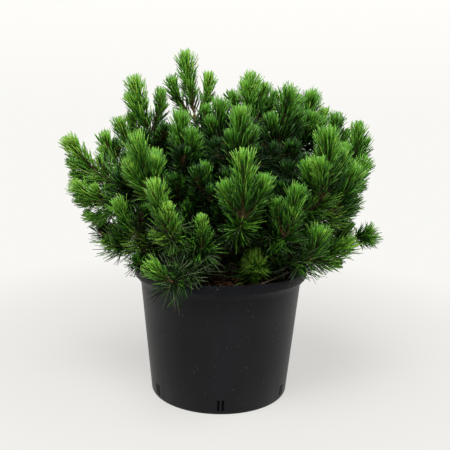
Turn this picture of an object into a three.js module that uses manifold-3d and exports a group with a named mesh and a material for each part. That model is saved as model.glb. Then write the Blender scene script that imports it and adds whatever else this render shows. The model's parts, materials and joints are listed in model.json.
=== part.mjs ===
// A mugo pine, a dwarf mountain pine of about 60 cm, growing in a 15 litre black nursery pot.
// Millimetres, +Z up. The origin is the centre of the pot's flat underside, and -Y is the front.
//
// How it is put together: a short flared trunk stands on the soil. Boughs leave the trunk or one
// another and turn upward. Each carries a mass of needles: an older stem that forks into a leader and
// side shoots, all set with stout blades, each of which stands for a small bunch of needles.
import * as THREE from "three";
import { mergeVertices } from "three/addons/utils/BufferGeometryUtils.js";
import Module from "manifold-3d";

const wasm = await Module();
wasm.setup();

// ---------------------------------------------------------------- driving dimensions
const GAP = 0.3; // running gap between two pieces that touch
const LIMB_GAP = 0.4; // the same round a limb, whose sides are faceted
const STEM_GAP = 0.6; // and round a stem, and where a mass's stem follows on from its bough
const DETAIL = 0.2; // a cut surface keeps no detail smaller than this

const POT = {
  height: 240,
  footRadius: 129, // outer radius at the floor
  shoulderRadius: 149, // outer radius just under the rim
  rimRadius: 160,
  rimBand: 16, // height of the upright band of the rim
  rimSlope: 14, // height of the slope from the wall out to the band
  lip: 4.5, // width of the rim's top edge
  ease: 2, // how far the rim's corners are eased
  wall: 2.4,
  floor: 3,
  footChamfer: 3,
  sides: 40,
  slots: 6,
  slotWidth: 8,
  slotHeight: 15,
  slotDepth: 16, // how far the cutter of a slot reaches through the wall
  slotTurn: 2, // bearing of the first drain slot, from the front
};
const SOIL = {
  top: 224,
  dome: 5, // how far it falls towards the pot's wall
  lumps: 3.2,
  lumpLean: 0.4, // share of a lump's height that goes below the smooth top
  lumpPitch: 11, // millimetres of radius to a radian of a lump's wave
  flatRadius: 46, // the flat part where the trunk stands
  slopeWidth: 60, // over which the top falls to its edge
  overShoulder: 5, // how far its edge stands over the pot's shoulder
  rings: 5,
  sides: 24,
};
const TRUNK = {
  tip: [6, 8, 352],
  upright: 8, // height over which it leaves the soil straight up
  handles: [
    [0, 0, 270],
    [8, 4, 310],
  ], // what its line bends towards between the soil and its tip
  foot: 21, // radius at the soil, without the root flare
  flare: 11, // how far the root flare adds to it
  flareFade: 9, // how fast the flare fades up the trunk
  roots: 5, // ridges round the flare
  rootDepth: 0.25, // how deep the hollows between them are, as a share of the flare
  rootTurn: 0.6,
  end: 9,
  sides: 10,
  steps: 9,
};

const LIMB = {
  trunkRoot: 7.6, // radius where a bough leaves the trunk
  boughRoot: 6.2, // radius where a bough leaves another bough
  tip: 4.4,
  sides: 6,
  steps: 6,
  lowest: SOIL.top + 22, // a limb that lies low is held this high over the soil
  lift: 8, // and comes up this much more towards its fork
  curveSteps: 40,
  cutSteps: 16,
};
const GROWTH = {
  carry: 0.45, // how far a limb follows its parent as it leaves it
  handle: 0.36, // share of its span over which it swings out
  rise: 1.5, // how strongly a leading shoot takes its own direction at the fork
  tilt: 28, // degrees between a side shoot and the leader
  tiltSpread: 12,
  turnSpread: 24,
  flatter: 16, // a side shoot starts this much flatter
  steeper: 20, // and ends this much steeper
  sideShare: 0.62, // its length as a share of the leader's, at least
  sideSpread: 0.22,
  sideOverhang: 0.85, // its needles' reach past its end, as a share of the leader's
  sideBare: 9, // the bare foot of a side shoot
  steps: 6, // straight pieces in a young shoot
  stemSteps: 12, // and in an older stem
  seed: 101,
  seedStep: 17,
};
const SHOOT = {
  overhang: 28, // how far the last needles reach past the end of the stem
  oldStem: 78, // length of older stem under the fork that still has its needles
  oldStemSpread: 0.2,
  core: 4.3, // radius of an older stem with the needle sheaths on it
  youngCore: 5.6, // the same on a young shoot, where the sheaths are dense
  bud: 3, // its radius at the end
  twig: 3.6, // radius of a bare twig
  needle: 40, // length of a young needle
  sideNeedle: 34, // the same on a side shoot
  oldNeedle: 47,
  needleLeast: 0.86, // the shortest needle as a share of that length
  needleSpread: 0.24,
  lastShare: 0.85, // past this share of a shoot its needles are shorter
  lastNeedle: 0.8,
  lean: 44, // degrees between a young needle and the stem near the fork
  tipLean: 25, // the same near the end
  leanCurve: 1.6, // how late along the shoot the needles close up
  oldLean: 54, // the same on last year's stem
  pitch: 15, // distance along the stem from one ring of needles to the next
  oldPitch: 17,
  leanSpread: 8,
  clear: 7, // length without needles next to a fork
  budLength: 3,
  bareStep: 40, // distance between the rings of a bare twig
  around: 4, // needles in a ring
  seed: 900,
  seedStep: 31,
};

// One row for each mass: where its leading shoot ends, how that shoot stands, and what it grows from.
// bearing: degrees round the trunk, 0 to the right and -90 to the front.  reach: distance from the
// trunk's axis.  height: above the ground.  lean: degrees from upright.  veer: how far the lean
// turns away from the bearing.  length: from the fork to the needle tips.  sides: side shoots.
// turn: bearing of the first side shoot.  from, at: what it grows from, and the share of its length.
// open: degrees between its side shoots and the leader, where that isn't the usual tilt.
const FIELDS = "name bearing reach height lean veer length sides turn from at open".split(" ");
const BOUGHS = [
  ["crest", 141, 96, 633, 9, 47, 130, 2, 190, "trunk", 0.93],
  ["left_tower", 166, 171, 586, 14, 14, 112, 1, 0, "trunk", 0.78, 40],
  ["far_left", -178, 285, 472, 41, 0, 88, 1, 170, "trunk", 0.55],
  ["left_front", -142, 176, 488, 12, -5, 100, 2, 5, "trunk", 0.64],
  ["front_left", -125, 184, 419, 12, -27, 96, 1, -50, "trunk", 0.4],
  ["front_centre", -79, 168, 466, 5, -20, 115, 2, 180, "trunk", 0.5],
  ["right_front", -35, 192, 500, 7, -109, 120, 2, -160, "trunk", 0.66],
  ["right_outer", 5, 241, 512, 3, 0, 100, 3, 0, "trunk", 0.56],
  ["right_back", 23, 177, 566, 9, -3, 112, 2, 175, "trunk", 0.84],
  ["back_top", 66, 119, 599, 8, 50, 104, 2, 10, "trunk", 0.92, 38],
  ["low_right", -39, 204, 344, 13, -8, 71, 1, 10, "trunk", 0.22],
  ["left_bottom", -172, 248, 324, 54, 0, 90, 2, -140, "trunk", 0.26],
  ["back_left", 128, 215, 488, 18, 0, 105, 2, 60, "trunk", 0.66],
  ["back_right", 46, 215, 496, 16, 0, 105, 2, 130, "trunk", 0.62],
  ["front_low", -66, 123, 304, 28, -42, 77, 0, 0, "trunk", 0.16],
  ["back_low_left", 122, 240, 340, 48, 0, 90, 2, 0, "trunk", 0.3],
  ["back_low_right", 38, 246, 352, 46, 0, 92, 2, 75, "trunk", 0.3],
  ["left_ball", 163, 208, 512, 20, 0, 80, 1, 60, "left_tower", 0.45],
  ["front_right", -50, 184, 413, 12, 0, 97, 1, -60, "right_front", 0.4],
  ["right_side", -19, 234, 440, 20, 0, 102, 1, 60, "right_front", 0.62],
  ["spur_right", 0, 301, 306, 76, 0, 62, 0, 0, "trunk", 0.34],
  ["front_rim_left", -119, 236, 298, 46, -32, 66, 0, 0, "front_left", 0.45],
  ["back", 90, 205, 500, 14, 0, 100, 2, 25, "back_left", 0.42],
];
// Masses with no bough of their own: a long twig meets the trunk, or the tip of a bough.
const TWIGS = [
  ["centre_top", -103, 24, 547, 3, 29, 87, 2, 30, "trunk", 1.0],
  ["right_mid", -5, 110, 568, 6, 0, 116, 2, -150, "trunk", 0.9],
  ["mid_left", -145, 86, 522, 4, -10, 107, 2, -50, "trunk", 0.86],
  ["mid_top", -75, 104, 533, 2, -26, 90, 2, 20, "trunk", 0.8],
  ["inner_front", -110, 85, 447, 5, -20, 72, 1, -150, "trunk", 0.58],
  ["front_pin", -104, 144, 369, 9, 0, 77, 0, 0, "front_left", 0.86],
  ["rim_right", -17, 245, 309, 56, 0, 86, 1, 150, "spur_right", 0.55],
  ["left_fill", -157, 198, 374, 27, 0, 85, 1, 120, "left_bottom", 0.8],
  ["left_low", -171, 273, 396, 54, 0, 72, 2, 0, "far_left", 0.86],
  ["right_shoulder", 16, 222, 526, 8, 0, 90, 1, 10, "right_outer", 0.86],
  ["left_horn", 169, 231, 484, 18, -3, 62, 1, 200, "far_left", 0.6],
];

// ---------------------------------------------------------------- small helpers
const vec = (x, y, z) => new THREE.Vector3(x, y, z);
const rad = THREE.MathUtils.degToRad;
const mix = (a, b, t) => a.clone().lerp(b, t);
const along = (a, d, k) => a.clone().addScaledVector(d, k);
const heading = (bearing, lean) =>
  vec(
    Math.cos(rad(bearing)) * Math.sin(rad(lean)),
    Math.sin(rad(bearing)) * Math.sin(rad(lean)),
    Math.cos(rad(lean)),
  );

// A seeded stream of numbers from 0 to 1, the same on every run.
function seeded(seed) {
  let state = seed;
  return () => {
    state = (state + 0x6d2b79f5) | 0;
    let t = Math.imul(state ^ (state >>> 15), 1 | state);
    t = (t + Math.imul(t ^ (t >>> 7), 61 | t)) ^ t;
    return ((t ^ (t >>> 14)) >>> 0) / 4294967296;
  };
}

// A line through points, measured along its length.
class Path {
  constructor(points) {
    this.points = points;
    this.sums = [0];
    for (let i = 1; i < points.length; i++)
      this.sums.push(this.sums[i - 1] + points[i].distanceTo(points[i - 1]));
    this.length = this.sums.at(-1);
  }
  at(s) {
    const where = THREE.MathUtils.clamp(s, 0, this.length);
    let i = 1;
    while (i < this.points.length - 1 && where > this.sums[i]) i++;
    const step = this.sums[i] - this.sums[i - 1];
    return mix(this.points[i - 1], this.points[i], (where - this.sums[i - 1]) / step);
  }
  heading(s) {
    const e = this.length * 0.02; // a short step to either side
    return this.at(s + e).sub(this.at(s - e)).normalize();
  }
  cut(from, to, steps) {
    const points = [];
    for (let k = 0; k <= steps; k++) points.push(this.at(from + ((to - from) * k) / steps));
    return new Path(points);
  }
}

function curve(a, b, c, d, steps) {
  const line = new THREE.CubicBezierCurve3(a, b, c, d);
  return new Path(line.getPoints(steps));
}

// A twig that leaves along one direction and ends along another.
function bent(start, first, last, length, steps) {
  const points = [start];
  for (let k = 0; k < steps; k++)
    points.push(along(points.at(-1), mix(first, last, (k + 0.5) / steps).normalize(), length / steps));
  return new Path(points);
}

// A direction tilted away from d, towards a compass turn that is counted from +X.
function tilted(d, turn, tilt) {
  const east = vec(1, 0, 0);
  east.addScaledVector(d, -east.dot(d)).normalize();
  const north = d.clone().cross(east);
  const out = east.multiplyScalar(Math.cos(rad(turn))).addScaledVector(north, Math.sin(rad(turn)));
  return along(d.clone().multiplyScalar(Math.cos(rad(tilt))), out, Math.sin(rad(tilt))).normalize();
}

// ---------------------------------------------------------------- growth: where every limb and shoot runs
// A limb's line: it leaves its parent partly along it, swings out, and comes up into its fork.
function limbLine(row, parent, fork, arrive) {
  const start = parent.at(row.at * parent.length);
  const span = fork.distanceTo(start);
  const toward = fork.clone().sub(start).normalize();
  const leave = along(toward, parent.heading(row.at * parent.length), GROWTH.carry).normalize();
  const b = along(start, leave, span * GROWTH.handle);
  const c = along(fork, arrive(toward), -span * GROWTH.handle);
  b.z = Math.max(b.z, LIMB.lowest);
  c.z = Math.max(c.z, LIMB.lowest + LIMB.lift);
  return curve(start, b, c, fork, LIMB.curveSteps);
}

// The side shoots of a fork stand round it, start out flat and then turn up beside the leader.
function sideShoots(row, fork, d, draw) {
  return Array.from({ length: row.sides }, (_, k) => {
    const turn = row.turn + (k * 360) / row.sides + (draw() - 0.5) * GROWTH.turnSpread;
    const tilt = (row.open ?? GROWTH.tilt) + (draw() - 0.5) * GROWTH.tiltSpread;
    const share = GROWTH.sideShare + GROWTH.sideSpread * draw();
    const length = row.length * share - SHOOT.overhang * GROWTH.sideOverhang;
    const first = tilted(d, turn, tilt + GROWTH.flatter);
    const last = tilted(d, turn, tilt - GROWTH.steeper);
    const path = bent(fork, first, last, length, GROWTH.steps);
    return { path, bare: GROWTH.sideBare, fork: 0, needle: SHOOT.sideNeedle };
  });
}

function grow() {
  const foot = vec(0, 0, SOIL.top + GAP);
  const [low, high, tip] = [...TRUNK.handles, TRUNK.tip].map((p) => vec(...p));
  const rising = curve(vec(0, 0, foot.z + TRUNK.upright), low, high, tip, LIMB.cutSteps);
  const limbs = new Map([["trunk", { path: new Path([foot, ...rising.points]) }]]);
  const masses = [];
  const rows = [...BOUGHS, ...TWIGS].map((row) => Object.fromEntries(row.map((v, i) => [FIELDS[i], v])));
  rows.forEach((row, index) => {
    const draw = seeded(GROWTH.seed + index * GROWTH.seedStep);
    const d = heading(row.bearing + row.veer, row.lean);
    const east = rad(row.bearing);
    const top = vec(row.reach * Math.cos(east), row.reach * Math.sin(east), row.height);
    const fork = along(top, d, -row.length);
    const arrive = (toward) => along(toward, d, 1).normalize();
    const spine = limbLine(row, limbs.get(row.from).path, fork, arrive);
    const needled = SHOOT.oldStem * (1 + SHOOT.oldStemSpread * (draw() - 0.5));
    const hasBough = index < BOUGHS.length;
    const bare = spine.length - needled;
    const rise = along(spine.heading(spine.length), d, GROWTH.rise).normalize();
    const leader = bent(fork, rise, d, row.length - SHOOT.overhang, GROWTH.steps);
    const stem = spine.cut(hasBough ? bare + STEM_GAP : 0, spine.length, GROWTH.stemSteps);
    if (hasBough) limbs.set(row.name, { path: spine.cut(0, bare, LIMB.cutSteps), from: row.from });
    const axis = new Path([...stem.points, ...leader.points.slice(1)]);
    const twig = hasBough ? 0 : Math.max(0, bare);
    const shoots = [{ path: axis, bare: twig, fork: stem.length, needle: SHOOT.needle }];
    shoots.push(...sideShoots(row, fork, d, draw));
    masses.push({ name: row.name, shoots, seed: SHOOT.seed + index * SHOOT.seedStep });
  });
  return { limbs, masses };
}

// ---------------------------------------------------------------- geometry
// Rings of points joined into one closed body. split(k, i) tells which diagonal halves a quad.
function skin(rings, split = () => true) {
  const n = rings[0].length;
  const flat = rings.flat();
  const faces = [];
  for (let k = 0; k + 1 < rings.length; k++)
    for (let i = 0; i < n; i++) {
      const [a, b] = [k * n + i, k * n + ((i + 1) % n)];
      const [c, d] = [a + n, b + n];
      if (split(k, i)) faces.push(a, b, d, a, d, c);
      else faces.push(a, b, c, b, d, c);
    }
  for (let i = 1; i + 1 < n; i++) {
    faces.push(0, i + 1, i);
    const top = (rings.length - 1) * n;
    faces.push(top, top + i, top + i + 1);
  }
  const geometry = new THREE.BufferGeometry();
  geometry.setAttribute("position", new THREE.Float32BufferAttribute(flat.flatMap((p) => p.toArray()), 3));
  geometry.setIndex(faces);
  return geometry;
}

// Two directions square to the path at each station, carried along it without twist.
function frames(path, stations) {
  let across = null;
  return stations.map((s) => {
    const ahead = path.heading(s);
    if (!across) across = Math.abs(ahead.z) > 0.9 ? vec(1, 0, 0) : vec(0, 0, 1);
    across = along(across, ahead, -across.dot(ahead)).normalize();
    return { centre: path.at(s), ahead, across: across.clone(), over: ahead.clone().cross(across) };
  });
}

const onRing = (f, angle, radius) =>
  along(along(f.centre, f.across, radius * Math.cos(angle)), f.over, radius * Math.sin(angle));

// A round limb. radiusAt gives its radius for a share of its length and an angle round it.
function tube(path, radiusAt, sides, steps) {
  const stations = Array.from({ length: steps + 1 }, (_, k) => (path.length * k) / steps);
  const rings = frames(path, stations).map((f, k) =>
    Array.from({ length: sides }, (_, i) => {
      const angle = (2 * Math.PI * i) / sides;
      return onRing(f, angle, radiusAt(k / steps, angle));
    }),
  );
  return skin(rings);
}

// Evenly spaced stations from one length to another, about a pitch apart.
function evenly(from, to, pitch) {
  const count = Math.max(1, Math.round((to - from) / pitch));
  return Array.from({ length: count + 1 }, (_, k) => from + ((to - from) * k) / count);
}

// Where the rings of a shoot stand, and which needles each one carries.
function stations({ path, bare, fork }) {
  const end = path.length;
  const rings = bare ? evenly(0, bare, SHOOT.bareStep).slice(0, -1).map((s) => ({ s })) : [{ s: 0 }];
  const old = fork ? evenly(bare + SHOOT.clear, fork - SHOOT.clear, SHOOT.oldPitch) : [];
  for (const s of old) rings.push({ s, needles: "old" });
  const young = Math.max(bare, fork + SHOOT.clear);
  for (const s of evenly(young, end - SHOOT.budLength, SHOOT.pitch)) rings.push({ s, needles: "young" });
  rings.push({ s: end });
  return rings;
}

// A blade's tip, for a blade rooted on the ring f. share runs from the fork to the shoot's end.
function bladeTip(root, f, old, longest, share, draw) {
  const opening = THREE.MathUtils.lerp(SHOOT.lean, SHOOT.tipLean, share ** SHOOT.leanCurve);
  const angle = rad((old ? SHOOT.oldLean : opening) + (draw() - 0.5) * SHOOT.leanSpread);
  const last = share > SHOOT.lastShare ? SHOOT.lastNeedle : 1;
  const length = longest * last * (SHOOT.needleLeast + SHOOT.needleSpread * draw());
  const out = root.clone().sub(f.centre).normalize();
  return along(along(root, f.ahead, length * Math.cos(angle)), out, length * Math.sin(angle));
}

// A shoot's radius: a bare twig, then an older stem, then the young shoot with its dense sheaths.
function stemRadius(s, { path, bare, fork }) {
  if (s < bare) return SHOOT.twig;
  if (s <= fork) return SHOOT.core;
  const share = (s - fork) / (path.length - fork);
  return THREE.MathUtils.lerp(SHOOT.youngCore, SHOOT.bud, share);
}

// A shoot: a stem with rings of needle blades. Every other point of a ring is drawn out into a blade,
// and the next ring uses the points between, so each blade is a slim pyramid rooted in the stem.
function brush(shoot, draw, isFree) {
  const { path, bare, fork, needle } = shoot;
  const rings = stations(shoot);
  const places = frames(path, rings.map((ring) => ring.s));
  const around = SHOOT.around * 2;
  const points = places.map((f, k) => {
    const { s, needles } = rings[k];
    const share = Math.max(0, (s - fork) / (path.length - fork));
    const radius = stemRadius(s, shoot);
    return Array.from({ length: around }, (_, i) => {
      const root = onRing(f, (2 * Math.PI * i) / around, radius);
      if (!needles || (k + i) % 2) return root;
      const old = needles === "old";
      const tip = bladeTip(root, f, old, old ? SHOOT.oldNeedle : needle, share, draw);
      return isFree(root, tip) ? tip : root;
    });
  });
  // A quad is halved along the diagonal that joins its two root points.
  return skin(points, (k, i) => (k + i) % 2 === 1);
}

// ---------------------------------------------------------------- solids
function toSolid(geometry) {
  const plain = geometry.clone();
  for (const name of Object.keys(plain.attributes)) if (name !== "position") plain.deleteAttribute(name);
  const merged = mergeVertices(plain, 1e-4);
  return new wasm.Manifold(
    new wasm.Mesh({
      numProp: 3,
      vertProperties: merged.attributes.position.array,
      triVerts: new Uint32Array(merged.index.array),
    }),
  );
}

function toGeometry(solid) {
  const mesh = solid.getMesh();
  const geometry = new THREE.BufferGeometry();
  geometry.setAttribute("position", new THREE.BufferAttribute(mesh.vertProperties, 3));
  geometry.setIndex(new THREE.BufferAttribute(mesh.triVerts, 1));
  return geometry;
}

const largest = (solid) =>
  solid.decompose().reduce((best, body) => (body.volume() > best.volume() ? body : best));

// Cuts a piece clear of solids that already stand, and drops loose scraps.
function clearOf(solid, blocks) {
  let made = solid;
  for (const block of blocks)
    if (made.intersect(block).volume() > 0) made = made.subtract(block);
  return largest(largest(made).simplify(DETAIL));
}

// ---------------------------------------------------------------- pot and soil
// Half of the pot's section as radius and height: up the outside, then down the inside.
function potProfile() {
  const p = POT;
  const bandFoot = p.height - p.rimBand;
  const shoulder = bandFoot - p.rimSlope;
  const outer = [
    [0, 0],
    [p.footRadius - p.footChamfer, 0],
    [p.footRadius, p.footChamfer],
    [p.shoulderRadius, shoulder],
    [p.rimRadius - p.ease / 2, bandFoot],
    [p.rimRadius, bandFoot + p.ease],
    [p.rimRadius, p.height - p.ease],
    [p.rimRadius - p.ease, p.height],
  ];
  const inner = [
    [p.rimRadius - p.lip, p.height],
    [p.rimRadius - p.lip, bandFoot + p.ease / 2],
    [p.shoulderRadius - p.wall, shoulder],
    [p.footRadius - p.wall, p.floor],
    [0, p.floor],
  ];
  return { outer, inner };
}

function makePot() {
  const { outer, inner } = potProfile();
  const section = [...outer, ...inner].map(([r, z]) => new THREE.Vector2(r, z));
  const body = new THREE.LatheGeometry(section, POT.sides);
  body.rotateX(Math.PI / 2); // the lathe's axis is Y
  let pot = toSolid(body);
  for (let k = 0; k < POT.slots; k++) {
    const slot = new THREE.BoxGeometry(POT.slotWidth, POT.slotDepth, POT.slotHeight);
    slot.translate(0, -POT.footRadius, POT.footChamfer + POT.floor + POT.slotHeight / 2);
    slot.rotateZ(rad(POT.slotTurn + (360 * k) / POT.slots));
    pot = pot.subtract(toSolid(slot));
  }
  return toGeometry(pot);
}

// Radius of the pot's inside at a height.
function insideRadius(z) {
  const { inner } = potProfile();
  for (let i = 1; i < inner.length; i++) {
    const [upper, lower] = [inner[i - 1], inner[i]];
    if (z >= lower[1]) return THREE.MathUtils.mapLinear(z, lower[1], upper[1], lower[0], upper[0]);
  }
  return inner.at(-1)[0];
}

function soilHeight(r, angle) {
  const edge = THREE.MathUtils.clamp((r - SOIL.flatRadius) / SOIL.slopeWidth, 0, 1);
  const wave = r / SOIL.lumpPitch;
  const lump = (Math.sin(3 * angle + 1) + Math.sin(5 * angle + wave / 2) + Math.sin(wave + 2 * angle)) / 3;
  return SOIL.top - SOIL.dome * edge * edge + SOIL.lumps * edge * (lump - SOIL.lumpLean);
}

// The root ball and its lumpy top: a body that fills the pot, flat where the trunk stands.
function makeSoil() {
  const shoulder = POT.height - POT.rimBand - POT.rimSlope;
  const bottom = POT.floor + GAP;
  const ring = (radius, z) =>
    Array.from({ length: SOIL.sides }, (_, i) => {
      const angle = (2 * Math.PI * i) / SOIL.sides;
      return vec(radius * Math.cos(angle), radius * Math.sin(angle), z ?? soilHeight(radius, angle));
    });
  const flat = Math.cos(Math.PI / POT.sides); // the pot's wall is faceted
  const inside = (z) => insideRadius(z) * flat - GAP;
  const edge = inside(shoulder + SOIL.overShoulder);
  const inwards = evenly(0, 1, 1 / (SOIL.rings - 1));
  const top = inwards.map((t) => ring(THREE.MathUtils.lerp(edge, SOIL.flatRadius, t)));
  return skin([ring(inside(bottom), bottom), ring(inside(shoulder), shoulder), ...top]);
}

// ---------------------------------------------------------------- limbs and masses
function trunkRadius(share, angle) {
  const taper = THREE.MathUtils.lerp(TRUNK.foot, TRUNK.end, share);
  const flare = TRUNK.flare * Math.exp(-share * TRUNK.flareFade);
  const ridge = 1 - TRUNK.rootDepth * (1 - Math.sin(TRUNK.roots * angle + TRUNK.rootTurn));
  return taper + flare * ridge;
}

const { limbs, masses } = grow();

// A limb's solid. With extra above 0 it is that much larger all over, to cut its neighbours clear.
function limbGeometry(name, extra) {
  const { path: line, from } = limbs.get(name);
  const end = along(line.points.at(-1), line.heading(line.length), extra);
  const path = extra ? new Path([...line.points, end]) : line;
  if (name === "trunk") return tube(path, (t, a) => trunkRadius(t, a) + extra, TRUNK.sides, TRUNK.steps);
  const root = from === "trunk" ? LIMB.trunkRoot : LIMB.boughRoot;
  return tube(path, (t) => THREE.MathUtils.lerp(root, LIMB.tip, t) + extra, LIMB.sides, LIMB.steps);
}

// Points along a line, about a step apart.
const samples = (path, step) => evenly(0, path.length, step).map((s) => path.at(s));

// ---------------------------------------------------------------- room for the needles
const ROOM = {
  shootStep: 6, // distance between the points that stand for a shoot
  limbStep: 5, // and for a limb
  trunkFlare: 4, // added to the trunk's radius at the soil
  margin: 4, // a blade stays this much nearer to its own shoot than to another mass
  limb: 4, // and this far off a limb
  soil: 6, // and off the soil
  rim: 6, // and off the pot's rim
  shares: [0.12, 0.3, 0.55, 0.8, 1], // where along the blade this is tested
  sisterFrom: 0.5, // past this share it also stays out of its sister shoots
  sister: 0.8, // unless they are hardly nearer than its own
};
const shootPoints = masses.flatMap((mass) =>
  mass.shoots.flatMap((shoot) => {
    const points = samples(shoot.path, ROOM.shootStep);
    return points.map((point) => ({ point, mass, shoot }));
  }),
);
const limbPoints = [...limbs].flatMap(([name, { path }]) => {
  const radius = name === "trunk" ? TRUNK.foot + ROOM.trunkFlare : LIMB.trunkRoot;
  return samples(path, ROOM.limbStep).map((point) => ({ point, radius }));
});

function inPotOrSoil(p) {
  const r = Math.hypot(p.x, p.y);
  if (r > POT.rimRadius + ROOM.rim) return false;
  if (p.z < SOIL.top + ROOM.soil) return true;
  return p.z < POT.height + ROOM.rim && r > POT.rimRadius - POT.lip - ROOM.rim;
}

// Whether a blade from root to tip keeps to its mass's own space.
function bladeIsFree(mass, shoot, root, tip) {
  return ROOM.shares.every((share) => {
    const p = mix(root, tip, share);
    const nearest = { own: Infinity, sister: Infinity, other: Infinity };
    for (const line of shootPoints) {
      const kind = line.mass !== mass ? "other" : line.shoot === shoot ? "own" : "sister";
      nearest[kind] = Math.min(nearest[kind], line.point.distanceTo(p));
    }
    if (nearest.own + ROOM.margin > nearest.other) return false;
    if (share > ROOM.sisterFrom && nearest.sister < nearest.own * ROOM.sister) return false;
    if (limbPoints.some(({ point, radius }) => point.distanceTo(p) < radius + ROOM.limb)) return false;
    return !inPotOrSoil(p);
  });
}

// ---------------------------------------------------------------- the plant and its pot
const LOOKS = {
  pot: { color: 0x2b2c2e, roughness: 0.55 },
  soil: { color: 0x2a1c14, roughness: 1 },
  bark: { color: 0x5d4636, roughness: 0.9 },
  needles: { color: 0x3f7423, roughness: 0.6 },
};
const materials = {};
for (const [slot, look] of Object.entries(LOOKS))
  materials[slot] = new THREE.MeshStandardMaterial({ ...look, metalness: 0 });

const pine = new THREE.Group();
function place(name, geometry, slot) {
  const mesh = new THREE.Mesh(geometry, materials[slot]);
  mesh.name = name;
  pine.add(mesh);
}

place("pot", makePot(), "pot");
place("soil", makeSoil(), "soil");
place("trunk", limbGeometry("trunk", 0), "bark");

// Each bough is cut clear of the trunk and of the boughs that already stand.
const standing = [toSolid(limbGeometry("trunk", LIMB_GAP))];
for (const name of limbs.keys()) {
  if (name === "trunk") continue;
  const bough = clearOf(toSolid(limbGeometry(name, 0)), standing);
  place(`bough_${name}`, toGeometry(bough), "bark");
  standing.push(toSolid(limbGeometry(name, LIMB_GAP)));
}

// Each mass is one solid: its stem, leader and side shoots fused together, clear of the limbs and of
// the stems of the masses before it.
for (const mass of masses) {
  const draw = seeded(mass.seed);
  const parts = mass.shoots.map((shoot) => {
    const isFree = (root, tip) => bladeIsFree(mass, shoot, root, tip);
    return toSolid(brush(shoot, draw, isFree));
  });
  const whole = parts.reduce((a, b) => a.add(b));
  place(`needles_${mass.name}`, toGeometry(clearOf(whole, standing)), "needles");
  const room = tube(mass.shoots[0].path, () => SHOOT.core + STEM_GAP, LIMB.sides, LIMB.steps);
  standing.push(toSolid(room));
}

export default pine;
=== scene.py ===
# %% [markdown]
# # A mugo pine in its nursery pot
#
# A mugo pine is a dwarf mountain pine. Its shoots stand up like bottle brushes, and each spring a
# ring of new ones grows out of every tip, so a plant is a few seasons of forks on curving boughs.
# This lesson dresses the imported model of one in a 15 litre pot. The model is the frame: every piece
# below is made in its place, in metres, with +Z up and the pot's underside at the origin.

# %% The frame
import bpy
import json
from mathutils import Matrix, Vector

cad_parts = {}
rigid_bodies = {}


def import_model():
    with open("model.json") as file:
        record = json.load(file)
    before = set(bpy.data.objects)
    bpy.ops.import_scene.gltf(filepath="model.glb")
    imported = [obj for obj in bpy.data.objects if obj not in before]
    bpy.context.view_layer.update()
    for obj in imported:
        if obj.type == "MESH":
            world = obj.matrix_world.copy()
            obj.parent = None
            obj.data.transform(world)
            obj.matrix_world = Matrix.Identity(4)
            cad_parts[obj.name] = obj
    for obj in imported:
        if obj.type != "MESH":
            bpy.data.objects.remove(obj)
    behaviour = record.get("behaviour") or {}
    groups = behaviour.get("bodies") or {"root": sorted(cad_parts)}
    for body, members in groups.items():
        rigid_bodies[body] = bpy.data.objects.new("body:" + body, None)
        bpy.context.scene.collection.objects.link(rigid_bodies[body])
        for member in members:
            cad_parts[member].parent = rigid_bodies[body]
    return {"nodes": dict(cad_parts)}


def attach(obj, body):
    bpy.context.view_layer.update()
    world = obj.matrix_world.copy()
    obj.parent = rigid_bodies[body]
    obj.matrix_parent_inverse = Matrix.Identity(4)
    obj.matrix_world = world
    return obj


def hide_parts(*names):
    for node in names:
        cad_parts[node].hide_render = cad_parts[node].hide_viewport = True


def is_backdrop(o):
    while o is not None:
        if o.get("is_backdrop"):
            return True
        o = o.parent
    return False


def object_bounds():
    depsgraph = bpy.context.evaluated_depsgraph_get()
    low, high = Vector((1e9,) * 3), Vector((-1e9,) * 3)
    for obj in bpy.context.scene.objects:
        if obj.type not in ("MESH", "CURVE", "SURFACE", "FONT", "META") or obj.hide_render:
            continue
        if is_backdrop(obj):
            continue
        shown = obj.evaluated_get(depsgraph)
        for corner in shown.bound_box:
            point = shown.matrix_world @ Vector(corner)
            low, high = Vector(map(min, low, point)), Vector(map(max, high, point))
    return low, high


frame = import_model()
cad_box = [list(corner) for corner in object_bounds()]

import json
import math

import bmesh
import bpy
import numpy as np
from mathutils import Matrix, Vector, noise
from numpy.linalg import norm

MM = 0.001
nodes = sorted(frame["nodes"])
print("nodes:", len(nodes), "box in metres:", [[round(v, 3) for v in corner] for corner in cad_box])

# %% [markdown]
# ## Small helpers
#
# A node tree is easier to read when one line makes one node. One helper adds a node of any kind,
# gives it its settings, and then either links or sets each input. Colours are written as the hex
# values that a paint program shows, and one function turns them to the linear values that the shader
# needs. Patterns are sized in the millimetres of the real thing.

# %% Helpers for materials
def linear(hex_colour):
    """The linear colour, with alpha, of an sRGB hex value."""
    parts = [int(hex_colour[i:i + 2], 16) / 255 for i in (1, 3, 5)]
    return [c / 12.92 if c <= 0.04045 else ((c + 0.055) / 1.055) ** 2.4 for c in parts] + [1.0]


def fill(tree, node, inputs):
    """Links the inputs that are given a socket, and sets the others."""
    for name, value in inputs.items():
        if isinstance(value, bpy.types.NodeSocket):
            tree.links.new(value, node.inputs[name])
        else:
            node.inputs[name].default_value = value


def add(tree, kind, inputs=None, stops=(), **settings):
    """The outputs of a new node with these inputs and settings. A ramp has (position, hex) stops too."""
    node = tree.nodes.new("ShaderNode" + kind)
    for name, value in settings.items():
        setattr(node, name, value)
    fill(tree, node, inputs or {})
    for k, (position, colour) in enumerate(stops):
        elements = node.color_ramp.elements
        element = elements[k] if k < len(elements) else elements.new(position)
        element.position = position
        element.color = linear(colour)
    return node.outputs


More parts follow.
